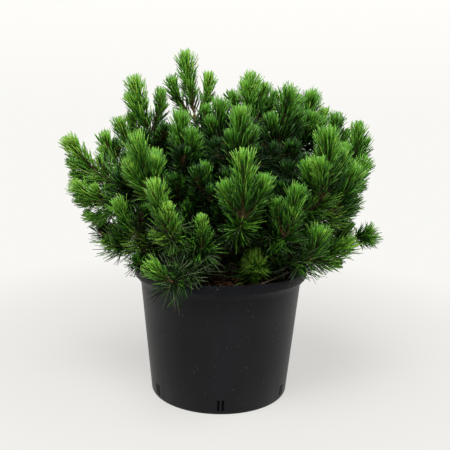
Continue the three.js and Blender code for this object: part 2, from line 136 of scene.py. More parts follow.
def start_material(name, **surface):
    """A material with its shader's plain values set. Returns it, its tree, shader and coordinates."""
    made = bpy.data.materials.new(name)
    made.use_nodes = True
    tree = made.node_tree
    shader = tree.nodes["Principled BSDF"]
    fill(tree, shader, {key.replace("_", " "): value for key, value in surface.items()})
    return made, tree, shader, add(tree, "TexCoord")["Object"]


def per_metre(size):
    """The scale of a pattern with blotches or cells of this many millimetres."""
    return 1 / (size * MM)


print("pure white is", linear("#FFFFFF"))

# %% [markdown]
# Every finished piece goes through one door: its mesh becomes an object at the origin, rides on the
# plant's only body, and hides the imported nodes that it stands in for.

# %% Helpers for pieces
def put(name, data):
    """A new object of the scene, at the origin."""
    made = bpy.data.objects.new(name, data)
    bpy.context.scene.collection.objects.link(made)
    return made


def piece(name, mesh, finish, stands_for=()):
    """An object at the origin that rides with the plant."""
    mesh.materials.append(finish)
    made = put(name, mesh)
    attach(made, "root")
    if stands_for:
        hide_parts(*stands_for)
    print(name, len(mesh.polygons), "faces")
    return made


def bake(name, bm):
    """The mesh of a bmesh, which is used up."""
    mesh = bpy.data.meshes.new(name)
    bm.to_mesh(mesh)
    bm.free()
    return mesh


def mesh_of(name, bm, smooth_below=35):
    """The same, smooth over edges that turn less than this many degrees and sharp over the others."""
    bmesh.ops.recalc_face_normals(bm, faces=bm.faces)
    for face in bm.faces:
        face.smooth = True
    for edge in bm.edges:
        edge.smooth = len(edge.link_faces) == 2 and edge.calc_face_angle() < math.radians(smooth_below)
    return bake(name, bm)


def spun(outline, steps):
    """A closed body from an outline of radii and heights that is spun round the axis."""
    bm = bmesh.new()
    profile = [bm.verts.new((r * MM, 0, z * MM)) for r, z in outline]
    edges = [bm.edges.new(pair) for pair in zip(profile, profile[1:])]
    bmesh.ops.spin(bm, geom=profile + edges, cent=(0, 0, 0), axis=(0, 0, 1), angle=2 * math.pi, steps=steps,
                   use_merge=True)
    bmesh.ops.remove_doubles(bm, verts=bm.verts, dist=0.02 * MM)
    return bm


# %% [markdown]
# ## The stand
#
# The plant stands on a pale sweep of paper in a white room. The floor is a plain disc that glows
# by itself. A painted shade darkens it around the pot. Farther out it grows paler and ends as white
# as the wall, so that no horizon shows.

# %% Floor and camera
FLOOR_RADIUS = 30.0
PAPER_WHITE = linear("#FEFDFA")
ROOM_WHITE = 0.95  # what the lens sees of the backdrop
# Painted shade: the paper glows less beside the pot, is darkest just behind it, and fades out farther away
FLOOR_GLOW = 0.58  # the same of the paper beside the pot
PAINTED_SHADE_CENTRE = (0.0, 0.2, 0.0)  # where the paper is darkest, in metres: just behind the pot
PAINTED_SHADE_FADE = (0.24, 1.0)  # how far from there it starts to grow paler, and stops
CAMERA_AT = Vector((6.0, -1143.0, 519.0)) * MM
CAMERA_DOWN = 10.2  # degrees below the horizon
CAMERA_ROLL = 1.15  # degrees

floor_bm = bmesh.new()
bmesh.ops.create_circle(floor_bm, cap_ends=True, radius=FLOOR_RADIUS, segments=96)
floor_mesh = bake("floor", floor_bm)
floor = put("floor", floor_mesh)
floor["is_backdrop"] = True

# The paper glows by itself. Near the pot it glows less, which is a painted shade, and it takes some real
# light; far out it only glows.
paper, tree, shader, where = start_material("glowing_paper_with_painted_shade", Roughness=0.9, Specular_IOR_Level=0.0,
                                            Emission_Color=PAPER_WHITE)
distance = add(tree, "VectorMath", {0: where, 1: PAINTED_SHADE_CENTRE}, operation="DISTANCE")["Value"]
shade_faded = add(tree, "MapRange", {"Value": distance, "From Min": PAINTED_SHADE_FADE[0], "From Max": PAINTED_SHADE_FADE[1]},
            interpolation_type="SMOOTHSTEP")["Result"]
grey = add(tree, "ValToRGB", {"Fac": shade_faded}, [(0.0, "#6B6A67"), (1.0, "#000000")])["Color"]
painted_glow = add(tree, "MapRange", {"Value": shade_faded, "To Min": FLOOR_GLOW, "To Max": ROOM_WHITE})["Result"]
fill(tree, shader, {"Base Color": grey, "Emission Strength": painted_glow})
floor_mesh.materials.append(paper)

lens = bpy.data.cameras.new("camera")
lens.lens = 50.0
lens.sensor_width = 36.0
camera = put("camera", lens)
down = Matrix.Rotation(math.radians(90 - CAMERA_DOWN), 4, "X")
roll = Matrix.Rotation(math.radians(CAMERA_ROLL), 4, "Z")
camera.matrix_world = Matrix.Translation(CAMERA_AT) @ (down @ roll)
bpy.context.scene.camera = camera
print("camera at", [round(v, 3) for v in CAMERA_AT])

# %% [markdown]
# One large lamp overhead gives the soft shade below the crown, and a weak one lifts the right side.
# The room itself is dim in front and bright behind, which draws the bright edges on the black pot.

# %% Light
SOFTBOXES = [
    # name, place, what it looks at and width in metres, watts
    ("overhead", (-0.15, -0.85, 2.2), (0, 0, 0.3), 1.1, 81),
    ("side_fill", (1.9, -0.7, 1.3), (0, 0, 0.35), 1.1, 8),
]
ROOM_LIGHT = (0.11, 0.6)  # how strongly the room lights the plant, from the dark front to the back
WALL_TOP = 1.01  # how bright the wall is higher up

for name, at, aim, width, watts in SOFTBOXES:
    lamp = bpy.data.lights.new(name, "AREA")
    lamp.size = width
    lamp.energy = watts
    softbox = put(name, lamp)
    softbox.location = Vector(at)
    softbox.rotation_euler = (Vector(aim) - Vector(at)).to_track_quat("-Z", "Y").to_euler()

world = bpy.data.worlds.new("pale_room")
bpy.context.scene.world = world
world.use_nodes = True
tree = world.node_tree
way = add(tree, "SeparateXYZ", {"Vector": add(tree, "TexCoord")["Generated"]})
depth = add(tree, "MapRange", {"Value": way["Y"], "From Min": -0.8, "From Max": 0.2,
                               "To Min": ROOM_LIGHT[0], "To Max": ROOM_LIGHT[1]},
            interpolation_type="SMOOTHSTEP")["Result"]
wall = add(tree, "MapRange", {"Value": way["Z"], "From Max": 0.17,
                              "To Min": ROOM_WHITE, "To Max": WALL_TOP})["Result"]
lit = add(tree, "Background", {"Color": linear("#FBFBFA"), "Strength": depth})["Background"]
seen = add(tree, "Background", {"Color": PAPER_WHITE, "Strength": wall})["Background"]
both = add(tree, "MixShader", {"Fac": add(tree, "LightPath")["Is Camera Ray"], 1: lit, 2: seen})
fill(tree, tree.nodes["World Output"], {"Surface": both["Shader"]})
bpy.context.scene.view_settings.view_transform = "Standard"
print("softboxes:", len(SOFTBOXES))

# %% [markdown]
# ## How the plant grows
#
# The solids of the model were grown by a rule, and the same rule is written here, so that every
# twig starts where a solid limb ends. A row tells where a mass of shoots tops out and what it grows
# from. Lengths are millimetres and angles are degrees in this part, because a gardener would
# measure them so, and they turn to metres only when a mesh is made.

# %% Driving dimensions
SOIL_TOP = 224.0
RIM_TOP = 240.0
RIM_RADIUS = 160.0
TRUNK = {"foot": 21.0, "flare": 11.0, "end": 9.0, "roots": 5}
# The trunk stands just over the soil, starts upright, and curves by way of two more points to its tip.
TRUNK_LINE = np.array([(0, 0, SOIL_TOP + 0.3), (0, 0, SOIL_TOP + 8.3), (0, 0, 270), (8, 4, 310), (6, 8, 352)])
LIMB = {"trunk_root": 7.6, "bough_root": 6.2, "tip": 4.4, "collar": 2.2, "lowest": SOIL_TOP + 22, "lift": 8.0}
LIMB_STEPS = 40
TWIG_STEPS = 6
GROWTH = {
    "carry": 0.45, "handle": 0.36, "rise": 1.5,
    "tilt": 28.0, "tilt_spread": 12.0, "turn_spread": 24.0, "flatter": 16.0, "steeper": 20.0,
    "side_share": 0.62, "side_spread": 0.22, "side_overhang": 0.85,
}
SHOOT = {"overhang": 28.0, "old_stem": 78.0}

# A row holds the place of a mass's top, as bearing, reach and height, the lean and veer of its leader
# and the leader's length, the number of side shoots and the turn of the first, the limb that it
# leaves and the share of that limb's length, and for some how far the side shoots open.
FIELDS = "name bearing reach height lean veer length sides turn parent at open".split()
BOUGHS = [
    ("crest", 141, 96, 633, 9, 47, 130, 2, 190, "trunk", 0.93),
    ("left_tower", 166, 171, 586, 14, 14, 112, 1, 0, "trunk", 0.78, 40),
    ("far_left", -178, 285, 472, 41, 0, 88, 1, 170, "trunk", 0.55),
    ("left_front", -142, 176, 488, 12, -5, 100, 2, 5, "trunk", 0.64),
    ("front_left", -125, 184, 419, 12, -27, 96, 1, -50, "trunk", 0.4),
    ("front_centre", -79, 168, 466, 5, -20, 115, 2, 180, "trunk", 0.5),
    ("right_front", -35, 192, 500, 7, -109, 120, 2, -160, "trunk", 0.66),
    ("right_outer", 5, 241, 512, 3, 0, 100, 3, 0, "trunk", 0.56),
    ("right_back", 23, 177, 566, 9, -3, 112, 2, 175, "trunk", 0.84),
    ("back_top", 66, 119, 599, 8, 50, 104, 2, 10, "trunk", 0.92, 38),
    ("low_right", -39, 204, 344, 13, -8, 71, 1, 10, "trunk", 0.22),
    ("left_bottom", -172, 248, 324, 54, 0, 90, 2, -140, "trunk", 0.26),
    ("back_left", 128, 215, 488, 18, 0, 105, 2, 60, "trunk", 0.66),
    ("back_right", 46, 215, 496, 16, 0, 105, 2, 130, "trunk", 0.62),
    ("front_low", -66, 123, 304, 28, -42, 77, 0, 0, "trunk", 0.16),
    ("back_low_left", 122, 240, 340, 48, 0, 90, 2, 0, "trunk", 0.3),
    ("back_low_right", 38, 246, 352, 46, 0, 92, 2, 75, "trunk", 0.3),
    ("left_ball", 163, 208, 512, 20, 0, 80, 1, 60, "left_tower", 0.45),
    ("front_right", -50, 184, 413, 12, 0, 97, 1, -60, "right_front", 0.4),
    ("right_side", -19, 234, 440, 20, 0, 102, 1, 60, "right_front", 0.62),
    ("spur_right", 0, 301, 306, 76, 0, 62, 0, 0, "trunk", 0.34),
    ("front_rim_left", -119, 236, 298, 46, -32, 66, 0, 0, "front_left", 0.45),
    ("back", 90, 205, 500, 14, 0, 100, 2, 25, "back_left", 0.42),
]
TWIGS = [
    ("centre_top", -103, 24, 547, 3, 29, 87, 2, 30, "trunk", 1.0),
    ("right_mid", -5, 110, 568, 6, 0, 116, 2, -150, "trunk", 0.9),
    ("mid_left", -145, 86, 522, 4, -10, 107, 2, -50, "trunk", 0.86),
    ("mid_top", -75, 104, 533, 2, -26, 90, 2, 20, "trunk", 0.8),
    ("inner_front", -110, 85, 447, 5, -20, 72, 1, -150, "trunk", 0.58),
    ("front_pin", -104, 144, 369, 9, 0, 77, 0, 0, "front_left", 0.86),
    ("rim_right", -17, 245, 309, 56, 0, 86, 1, 150, "spur_right", 0.55),
    ("left_fill", -157, 198, 374, 27, 0, 85, 1, 120, "left_bottom", 0.8),
    ("left_low", -171, 273, 396, 54, 0, 72, 2, 0, "far_left", 0.86),
    ("right_shoulder", 16, 222, 526, 8, 0, 90, 1, 10, "right_outer", 0.86),
    ("left_horn", 169, 231, 484, 18, -3, 62, 1, 200, "far_left", 0.6),
]
rows = [dict(zip(FIELDS, row)) for row in BOUGHS + TWIGS]
print(len(BOUGHS), "boughs and", len(TWIGS), "long twigs carry", len(rows), "masses")

# %% [markdown]
# A few tools for lines in space: a line through points that is measured along its length, a smooth
# curve, a twig that starts in one direction and ends in another, and a seeded stream of numbers
# that gives the same plant on every run.

# %% Lines in space
def unit(v):
    """The same direction, one long."""
    return v / norm(v)


def swung(a, b, angle):
    """Turns from direction a towards b, which is at right angles to it, by one angle or by many."""
    angle = np.asarray(angle)[..., None]
    return a * np.cos(angle) + b * np.sin(angle)


def seeded(seed):
    """A stream of numbers from 0 to 1, the same for the same seed."""
    word = 0xFFFFFFFF
    state = seed & word

    def draw():
        nonlocal state
        state = (state + 0x6D2B79F5) & word
        t = ((state ^ (state >> 15)) * (1 | state)) & word
        t = ((t + (((t ^ (t >> 7)) * (61 | t)) & word)) ^ t) & word
        return ((t ^ (t >> 14)) & word) / 4294967296

    return draw


def heading(bearing, lean):
    """A direction that leans this far from upright, towards a bearing counted from +X."""
    b, t = math.radians(bearing), math.radians(lean)
    return np.array([math.cos(b) * math.sin(t), math.sin(b) * math.sin(t), math.cos(t)])


class Line:
    """A line through points, measured along its length."""

    def __init__(self, points):
        self.points = np.array(points, float)
        steps = norm(np.diff(self.points, axis=0), axis=1)
        self.sums = np.concatenate([[0.0], np.cumsum(steps)])
        self.length = self.sums[-1]

    def at(self, s):
        return np.stack([np.interp(s, self.sums, self.points[:, k]) for k in range(3)], axis=-1)

    def heading(self, s):
        e = self.length * 0.02
        ahead = self.at(np.asarray(s) + e) - self.at(np.asarray(s) - e)
        return ahead / norm(ahead, axis=-1, keepdims=True)

    def cut(self, start, end, steps=TWIG_STEPS):
        return Line(self.at(np.linspace(start, end, steps + 1)))


def curve(a, b, c, d, steps):
    """A smooth line from a to d that sets out towards b and comes in from c."""
    t = np.linspace(0, 1, steps + 1)[:, None]
    return Line((1 - t) ** 3 * a + 3 * (1 - t) ** 2 * t * b + 3 * (1 - t) * t ** 2 * c + t ** 3 * d)


def bent(start, first, last, length):
    """A twig that sets out along one direction and has turned to another at its end."""
    points = [start]
    for k in range(TWIG_STEPS):
        way = unit(first + (last - first) * (k + 0.5) / TWIG_STEPS)
        points.append(points[-1] + way * length / TWIG_STEPS)
    return Line(points)


def tilted(d, turn, tilt):
    """A direction tilted away from d, towards a compass turn that is counted from +X."""
    east = np.array([1.0, 0, 0])
    east = unit(east - d * east.dot(d))
    out = swung(east, np.cross(d, east), math.radians(turn))
    return unit(swung(d, out, math.radians(tilt)))


print("the first stream starts with", round(seeded(101)(), 4))

# %% [markdown]
# A limb leaves its parent partly along it, swings out, and comes up into a fork. The leader carries
# on from the fork, and the side shoots start out flat and then turn up beside it.

# %% The growth rule
def limb_line(row, parent, fork, d):
    """The line of a limb, from its parent to its fork."""
    start = parent.at(row["at"] * parent.length)
    span = norm(fork - start)
    toward = unit(fork - start)
    leave = unit(toward + parent.heading(row["at"] * parent.length) * GROWTH["carry"])
    b = start + leave * span * GROWTH["handle"]
    c = fork - unit(toward + d) * span * GROWTH["handle"]
    b[2] = max(b[2], LIMB["lowest"])
    c[2] = max(c[2], LIMB["lowest"] + LIMB["lift"])
    return curve(start, b, c, fork, LIMB_STEPS)


def side_shoot(fork, d, turn, tilt, length):
    """A shoot beside a leader that grows along d."""
    first = tilted(d, turn, tilt + GROWTH["flatter"])
    return bent(fork, first, tilted(d, turn, tilt - GROWTH["steeper"]), length)


def side_shoots(row, fork, d, draw):
    """The side shoots of a fork, evenly round it but for some chance."""
    made = []
    for k in range(row["sides"]):
        turn = row["turn"] + k * 360 / row["sides"] + (draw() - 0.5) * GROWTH["turn_spread"]
        tilt = row.get("open", GROWTH["tilt"]) + (draw() - 0.5) * GROWTH["tilt_spread"]
        share = GROWTH["side_share"] + GROWTH["side_spread"] * draw()
        length = row["length"] * share - SHOOT["overhang"] * GROWTH["side_overhang"]
        made.append(side_shoot(fork, d, turn, tilt, length))
    return made


def grow():
    """Every limb's line, and the stem, leader and side shoots of every mass."""
    rising = curve(*TRUNK_LINE[1:], 16)
    limbs = {"trunk": {"line": Line([TRUNK_LINE[0], *rising.points]), "parent": None}}
    masses = []
    for index, row in enumerate(rows):
        draw = seeded(101 + index * 17)
        d = heading(row["bearing"] + row["veer"], row["lean"])
        east = math.radians(row["bearing"])
        top = np.array([row["reach"] * math.cos(east), row["reach"] * math.sin(east), row["height"]])
        fork = top - d * row["length"]
        spine = limb_line(row, limbs[row["parent"]]["line"], fork, d)
        bare = max(0.0, spine.length - SHOOT["old_stem"] * (0.9 + 0.2 * draw()))
        rise = unit(spine.heading(spine.length) + d * GROWTH["rise"])
        has_bough = index < len(BOUGHS)
        if has_bough:
            limbs[row["name"]] = {"line": spine.cut(0, bare, LIMB_STEPS), "parent": row["parent"]}
        masses.append({
            **row, "fork": fork, "d": d, "has_bough": has_bough, "spine": spine, "bare": bare,
            "stem": spine.cut(bare, spine.length, 14),
            "leader": bent(fork, rise, d, row["length"] - SHOOT["overhang"]),
            "side_lines": side_shoots(row, fork, d, draw), "seed": 5000 + index * 37,
        })
    return limbs, masses


limbs, masses = grow()
print("limbs:", len(limbs), "shoots:", sum(1 + len(m["side_lines"]) for m in masses))

# %% [markdown]
# ## Finer twigs
#
# The solids stop at the stout shoots. On the plant, short spurs stand along the older wood too, and
# they close the crown from inside. Each one is drawn from the mass's own seeded stream, turned up
# towards the light, and kept only where it has room of its own.

# %% Spurs on the older wood
RADII = {"old": (3.2, 2.2), "leader": (2.4, 1.5), "side": (2.0, 1.3), "spur": (1.7, 1.2)}  # root and tip
NEEDLES_PAST = 16.0  # how far the needles reach past a twig's end
BESIDE_RIM = RIM_RADIUS + 24  # farther out, twigs may hang low
OVER_RIM = 50  # nearer, they end this much higher than the rim
SPUR = {
    # distance between places, shortest length and what is added to it, tilt and what is added to it,
    # the room that its end keeps from every other shoot, and the chance that a place is used
    "stem": {"step": 22.0, "length": (26.0, 14.0), "tilt": (34.0, 16.0), "room": 19.0, "chance": 0.4},
    "limb": {"step": 14.0, "length": (34.0, 40.0), "tilt": (26.0, 34.0), "room": 16.0, "chance": 0.9},
}
FORK = {"share": (0.5, 0.3), "tilt": (24.0, 10.0), "room": 22.0, "below_top": 24}
SPURS_BELOW_TOP = 34
LIMB_WITHOUT = 0.3  # the share of a limb, from its root, that grows nothing
TRIES = 8
LIGHT = np.array([0.0, 0.0, 1.0])

shoots, taken = [], []


def take(line, age, name, radii=None):
    """Adds a shoot and the room that it takes up."""
    shoots.append({"line": line, "age": age, "mass": name, "radii": radii or RADII[age]})
    taken.append(line.at(np.linspace(0, line.length + NEEDLES_PAST, 8)))


def has_room(end, top, room):
    """Whether a new shoot's end stands clear of the others, of the pot and of the crown's outline."""
    clear = all(np.min(norm(points - end, axis=1)) > room for points in taken)
    over_pot = math.hypot(end[0], end[1]) > BESIDE_RIM or end[2] > RIM_TOP + OVER_RIM
    return clear and over_pot and end[2] < top


def between(pair, draw):
    """The first number of a pair, and up to the second on top."""
    return pair[0] + pair[1] * draw()


def add_fork_shoot(mass, draw):
    """One more side shoot of a fork, between those of the growth rule."""
    for _ in range(TRIES):
        turn, tilt = 360 * draw(), between(FORK["tilt"], draw)
        length = mass["length"] * between(FORK["share"], draw) - SHOOT["overhang"]
        side = side_shoot(mass["fork"], mass["d"], turn, tilt, length)
        if has_room(side.points[-1], mass["height"] - FORK["below_top"], FORK["room"]):
            take(side, "side", mass["name"])
            break


def add_spurs(line, start, end, draw, mass, kind):
    """Short shoots along a line, from one length of it to another."""
    for s in np.arange(start, end, kind["step"]):
        if draw() > kind["chance"]:
            continue
        for _ in range(TRIES):
            first = tilted(line.heading(s), 360 * draw(), between(kind["tilt"], draw))
            length = between(kind["length"], draw)
            spur = bent(line.at(s), unit(first + LIGHT * 0.3), unit(first + LIGHT * 1.4), length)
            if has_room(spur.points[-1], mass["height"] - SPURS_BELOW_TOP, kind["room"]):
                take(spur, "spur", mass["name"])
                break


for mass in masses:
    take(mass["stem"], "old", mass["name"])
    take(mass["leader"], "leader", mass["name"])
    for side in mass["side_lines"]:
        take(side, "side", mass["name"])

print("shoots of the growth rule, with their stems:", len(shoots))

# %% [markdown]
# Some side shoots stand out on this plant, so each has a row of its own. It tells where the needles
# end, as for a mass, and how the shoot leans there, and the shoot grows from the stem of its mass.
# The chance shoots follow. A few masses get none, because their forks stand bare against the sky.

# %% Side shoots and spurs
BARE_MASSES = ("crest", "left_tower", "left_horn", "front_pin", "front_rim_left", "front_low", "spur_right")
LATERAL_SPAN = 55  # how far from its end such a side shoot starts
LATERALS = [
    ("back_top", 55, 137, 581, 12, 7),
    ("back_top", 70, 107, 582, 12, 100),
    ("right_back", 20, 201, 535, 9, 3),
    ("right_back", 27, 157, 558, 10, 49),
    ("back_top", 43, 131, 564, 10, 23),
    ("right_side", -1, 239, 360, 28, -9),
    ("left_ball", 164, 186, 520, 18, 9),
    ("left_low", -172, 254, 341, 60, 2),
    ("right_side", 2, 262, 398, 50, 0),
    ("left_bottom", -177, 218, 348, 32, 15),
    ("far_left", -179, 280, 407, 66, 5),
    ("crest", 140, 38, 536, 16, 177),
    ("right_side", -4, 262, 444, 27, -6),
    ("right_side", -12, 247, 380, 44, 22),
    ("rim_right", -5, 236, 331, 29, 27),
    ("rim_right", -17, 226, 264, 86, 14),
    ("left_tower", 168, 186, 553, 31, 16),
    ("left_front", -142, 193, 439, 25, 25),
]
for name, bearing, reach, height, lean, veer in LATERALS:
    d = heading(bearing + veer, lean)
    end = heading(bearing, 90) * reach + LIGHT * height - d * SHOOT["overhang"] * GROWTH["side_overhang"]
    wood = next(mass["spine"].points for mass in masses if mass["name"] == name)
    start = min(wood, key=lambda point: abs(norm(end - point) - LATERAL_SPAN))
    handle = norm(end - start) * GROWTH["handle"]
    take(curve(start, start + unit(end - start) * handle, end - d * handle, end, 8), "side", name)
for mass in masses:
    if mass["name"] not in BARE_MASSES:
        add_fork_shoot(mass, seeded(mass["seed"]))
for mass in masses:
    draw = seeded(mass["seed"] + 7)
    if mass["name"] not in BARE_MASSES:
        add_spurs(mass["stem"], 4, mass["stem"].length - 6, draw, mass, SPUR["stem"])
    limb = mass["spine"].cut(0, mass["bare"], 20)
    add_spurs(limb, max(26, limb.length * LIMB_WITHOUT), limb.length - 4, draw, mass, SPUR["limb"])
print("shoots with their spurs:", len(shoots))

# %% [markdown]
# A twig also grows into whatever room is left in the crown, because that is where the light gets in.
# Places are drawn inside a smooth body that is smaller than the crown. Where no shoot is near, a twig
# curves up to the place from the nearest wood, so the middle closes and the outline stays open.

# %% Twigs into the free room
FREE = {
    "places": 4000, "room": 34.0, "reach": 100.0, "middle": (0, 26, 375), "radii": (224, 160, 132),
    "over_pot": 55, "beside_pot": 20,  # the lowest places, counted from the rim
    # places near the back and the left edge that are filled in any case
    "named": [
        (169, 60, 462), (185, 62, 440), (79, 60, 460), (111, 70, 464), (-204, -10, 296),
        (-220, -20, 312), (-200, 40, 446), (71, 50, 474), (72, 95, 486), (188, 8, 300),
        (204, 4, 296), (158, -8, 274), (-145, -84, 257), (150, 50, 462),
    ],
}


def free_places():
    """Random places in the crown that no shoot is near and that are well above the pot."""
    draws = np.random.default_rng(23)
    ball = draws.normal(size=(FREE["places"], 3))
    ball *= (draws.uniform(size=FREE["places"]) ** (1 / 3) / norm(ball, axis=1))[:, None]
    places = np.array(FREE["middle"]) + ball * FREE["radii"]
    over_pot = np.hypot(places[:, 0], places[:, 1]) < BESIDE_RIM
    low, lowest = places[:, 2] < RIM_TOP + FREE["over_pot"], places[:, 2] < RIM_TOP + FREE["beside_pot"]
    places = places[~(over_pot & low) & ~lowest]
    near = np.min([np.min(norm(places[:, None] - t[None], axis=2), axis=1) for t in taken], axis=0)
    return places[near > FREE["room"]]


def grow_into_room():
    """Twigs from the nearest wood to the named places, and to the random ones that stay free."""
    wood = [limb["line"].cut(limb["line"].length * LIMB_WITHOUT, limb["line"].length, 14).points
            for name, limb in limbs.items() if name != "trunk"]
    wood = np.concatenate(wood + [mass["stem"].points for mass in masses])
    added = []
    named = np.array(FREE["named"], float)
    for k, place in enumerate(np.concatenate([named, free_places()])):
        if k >= len(named) and np.min(norm(np.concatenate(added) - place, axis=1)) < FREE["room"]:
            continue
        away = norm(wood - place, axis=1) + 0.8 * np.maximum(0, wood[:, 2] - place[2] + 20)
        start = wood[np.argmin(away)]
        span = norm(place - start)
        if span > FREE["reach"]:
            continue
        handle = span * GROWTH["handle"]
        line = curve(start, start + unit(place - start) * handle, place - LIGHT * handle, place, 8)
        take(line, "spur", "free", (1.7, 1.1))
        added.append(line.at(np.linspace(span * 0.4, line.length + NEEDLES_PAST, 6)))
    return len(added)


print("twigs into the free room:", grow_into_room(), "shoots in all:", len(shoots))

# %% [markdown]
# ## Frames along a line
#
# Tubes and needles both need to know which way is across the stem. A frame carried along the line
# without twist gives that, and it keeps a spiral of needles even.

# %% Frames along a line
def frames(line, stations):
    """Centres, headings and two directions across, carried along the line without twist."""
    centres = line.at(stations)
    ahead = line.heading(stations)
    across = np.zeros_like(ahead)
    last = np.array([1.0, 0, 0]) if abs(ahead[0, 2]) > 0.9 else np.array([0, 0, 1.0])
    for k, way in enumerate(ahead):
        last = unit(last - way * last.dot(way))
        across[k] = last
    return centres, ahead, across, np.cross(ahead, across)


foot_frame = frames(limbs["trunk"]["line"], np.array([0.0, 1.0]))
print("the trunk's foot stands at", foot_frame[0][0].round(1), "and heads", foot_frame[1][0].round(2))

# %% [markdown]
# ## Bark
#
# Old mugo wood is grey-brown and breaks into small plates with dark cracks between them. The tubes
# of the limbs start as a plain cylinder that bmesh cuts into rings. Each ring is then moved to its
# place along the limb, and a cell pattern lifts the plates and sinks the cracks, so the relief is in
# the mesh and not only in the shading.

# %% Limbs with bark relief
BARK = {"plate": 7.5, "stretch": 2.2, "relief": 0.55, "ring": 2.0}


def bark_height(angle, s, radius, seed):
    """How far the bark stands out, from -1 in a crack to 1 on a plate."""
    cell = BARK["plate"] * (0.6 + radius / 30)
    x, y, z = math.cos(angle) * radius / cell, math.sin(angle) * radius / cell, s / cell / BARK["stretch"]
    flat = Vector((x, y, z))
    near = noise.voronoi(flat + Vector((seed, 0, 0)))[0]
    plate = min(1.0, (near[1] - near[0]) * 3.2) * 2 - 1
    return 0.75 * plate + 0.45 * noise.noise(flat * 2.3)


def limb_mesh(line, radius_at, sides, seed, relief=1.0):
    """A tapering limb with its bark, as a bmesh."""
    rings = max(6, int(line.length / BARK["ring"]))
    bm = bmesh.new()
    bmesh.ops.create_cone(bm, cap_ends=True, segments=sides, radius1=1, radius2=1, depth=1)
    upright = [e for e in bm.edges if abs(e.verts[0].co.z - e.verts[1].co.z) > 0.5]
    bmesh.ops.subdivide_edges(bm, edges=upright, cuts=rings - 1, use_grid_fill=True)
    centres, ahead, across, over = frames(line, np.linspace(0, line.length, rings + 1))
    for v in bm.verts:
        k = round((v.co.z + 0.5) * rings)
        angle = math.atan2(v.co.y, v.co.x)
        s = line.length * k / rings
        plain = radius_at(s / line.length, angle)
        lifted = plain + relief * BARK["relief"] * bark_height(angle, s, plain, seed)
        v.co = Vector((centres[k] + swung(across[k], over[k], angle) * lifted) * MM)
    return bm


def gather(into, bm):
    """Moves everything of one bmesh into another."""
    carrier = bake("carrier", bm)
    into.from_mesh(carrier)
    bpy.data.meshes.remove(carrier)


def trunk_radius(share, angle):
    """The trunk's taper, and the flare of the roots at its foot."""
    taper = TRUNK["foot"] + (TRUNK["end"] - TRUNK["foot"]) * share
    roots = 0.75 + 0.25 * math.sin(TRUNK["roots"] * angle + 0.6)
    return taper + TRUNK["flare"] * math.exp(-share * 9) * roots


bark_bm = bmesh.new()
gather(bark_bm, limb_mesh(limbs["trunk"]["line"], trunk_radius, sides=56, seed=3.0, relief=2.0))
for index, (name, limb) in enumerate(limbs.items()):
    if name == "trunk":
        continue
    root = LIMB["trunk_root"] if limb["parent"] == "trunk" else LIMB["bough_root"]

    def taper(share, angle, root=root):
        return root + (LIMB["tip"] - root) * share + LIMB["collar"] * math.exp(-share * 14)

    gather(bark_bm, limb_mesh(limb["line"], taper, sides=14, seed=10.0 + index * 7))
bark_mesh = mesh_of("bark", bark_bm, 60)
print("bark faces:", len(bark_mesh.polygons))

# %% [markdown]
# One low branch has died off. It lies along the inside of the pot's wall and comes up over the rim,
# bare of needles.

# %% The low dead branch
lying = Line([(30, -88, 218), (50, -108, 227), (72, -123, 236), (91, -115, 243), (119, -92, 250),
              (138, -72, 253), (152, -57, 255), (166, -50, 258)])
lying = lying.cut(0, lying.length, 59)
DEAD_ROOT, DEAD_TAPER = 2.1, 0.8
dead_bm = limb_mesh(lying, lambda share, angle: DEAD_ROOT - DEAD_TAPER * share, sides=12, seed=77.0)
dead_mesh = mesh_of("dead_branch", dead_bm)
print("dead branch:", round(lying.length), "mm long")

# %% [markdown]
# The bark's colour follows the same scale as its plates: a warm brown on fresh bark, grey where it
# has weathered, and near black in the cracks. Bark is dry and rough, so it hardly shines.

# %% Weathered bark
old_bark, tree, shader, where = start_material("weathered_pine_bark", Roughness=0.9, IOR=1.45)
worn = add(tree, "TexNoise", {"Vector": where, "Scale": per_metre(18.0), "Detail": 6.0})["Fac"]
tone = add(tree, "ValToRGB", {"Fac": worn}, [(0.3, "#473729"), (0.5, "#67543F"), (0.7, "#857861")])["Color"]
plates = add(tree, "TexVoronoi", {"Vector": where, "Scale": per_metre(6.0)}, feature="DISTANCE_TO_EDGE")
cracks = add(tree, "ValToRGB", {"Fac": plates["Distance"]}, [(0.0, "#2A1D16"), (0.12, "#FFFFFF")])["Color"]
bark = add(tree, "Mix", {"Factor": 0.8, "A": tone, "B": cracks}, data_type="RGBA", blend_type="MULTIPLY")
grain = add(tree, "TexNoise", {"Vector": where, "Scale": per_metre(1.4), "Detail": 4.0})["Fac"]
relief = add(tree, "Bump", {"Height": grain, "Strength": 0.5, "Distance": 0.4 * MM})["Normal"]
fill(tree, shader, {"Base Color": bark["Result"], "Normal": relief})

limb_nodes = [n for n in nodes if n == "trunk" or n.startswith("bough_")]
piece("trunk_and_boughs", bark_mesh, old_bark, limb_nodes)

# %% [markdown]
# ## Twigs
#
# There are hundreds of twigs, so they are made from arrays: the points of all the rings of a twig
# are worked out at once and joined into one mesh. The scars of fallen scales leave a young pine
# twig knobbly, and a little random swelling of each ring gives that.

# %% Twigs from arrays
TWIG_SIDES = 7
TWIG_RING = 2.6  # from one ring of points to the next
LONG_TWIG = (4.4, 3.7)  # radii of a long twig that carries a mass
rng = np.random.default_rng(71)


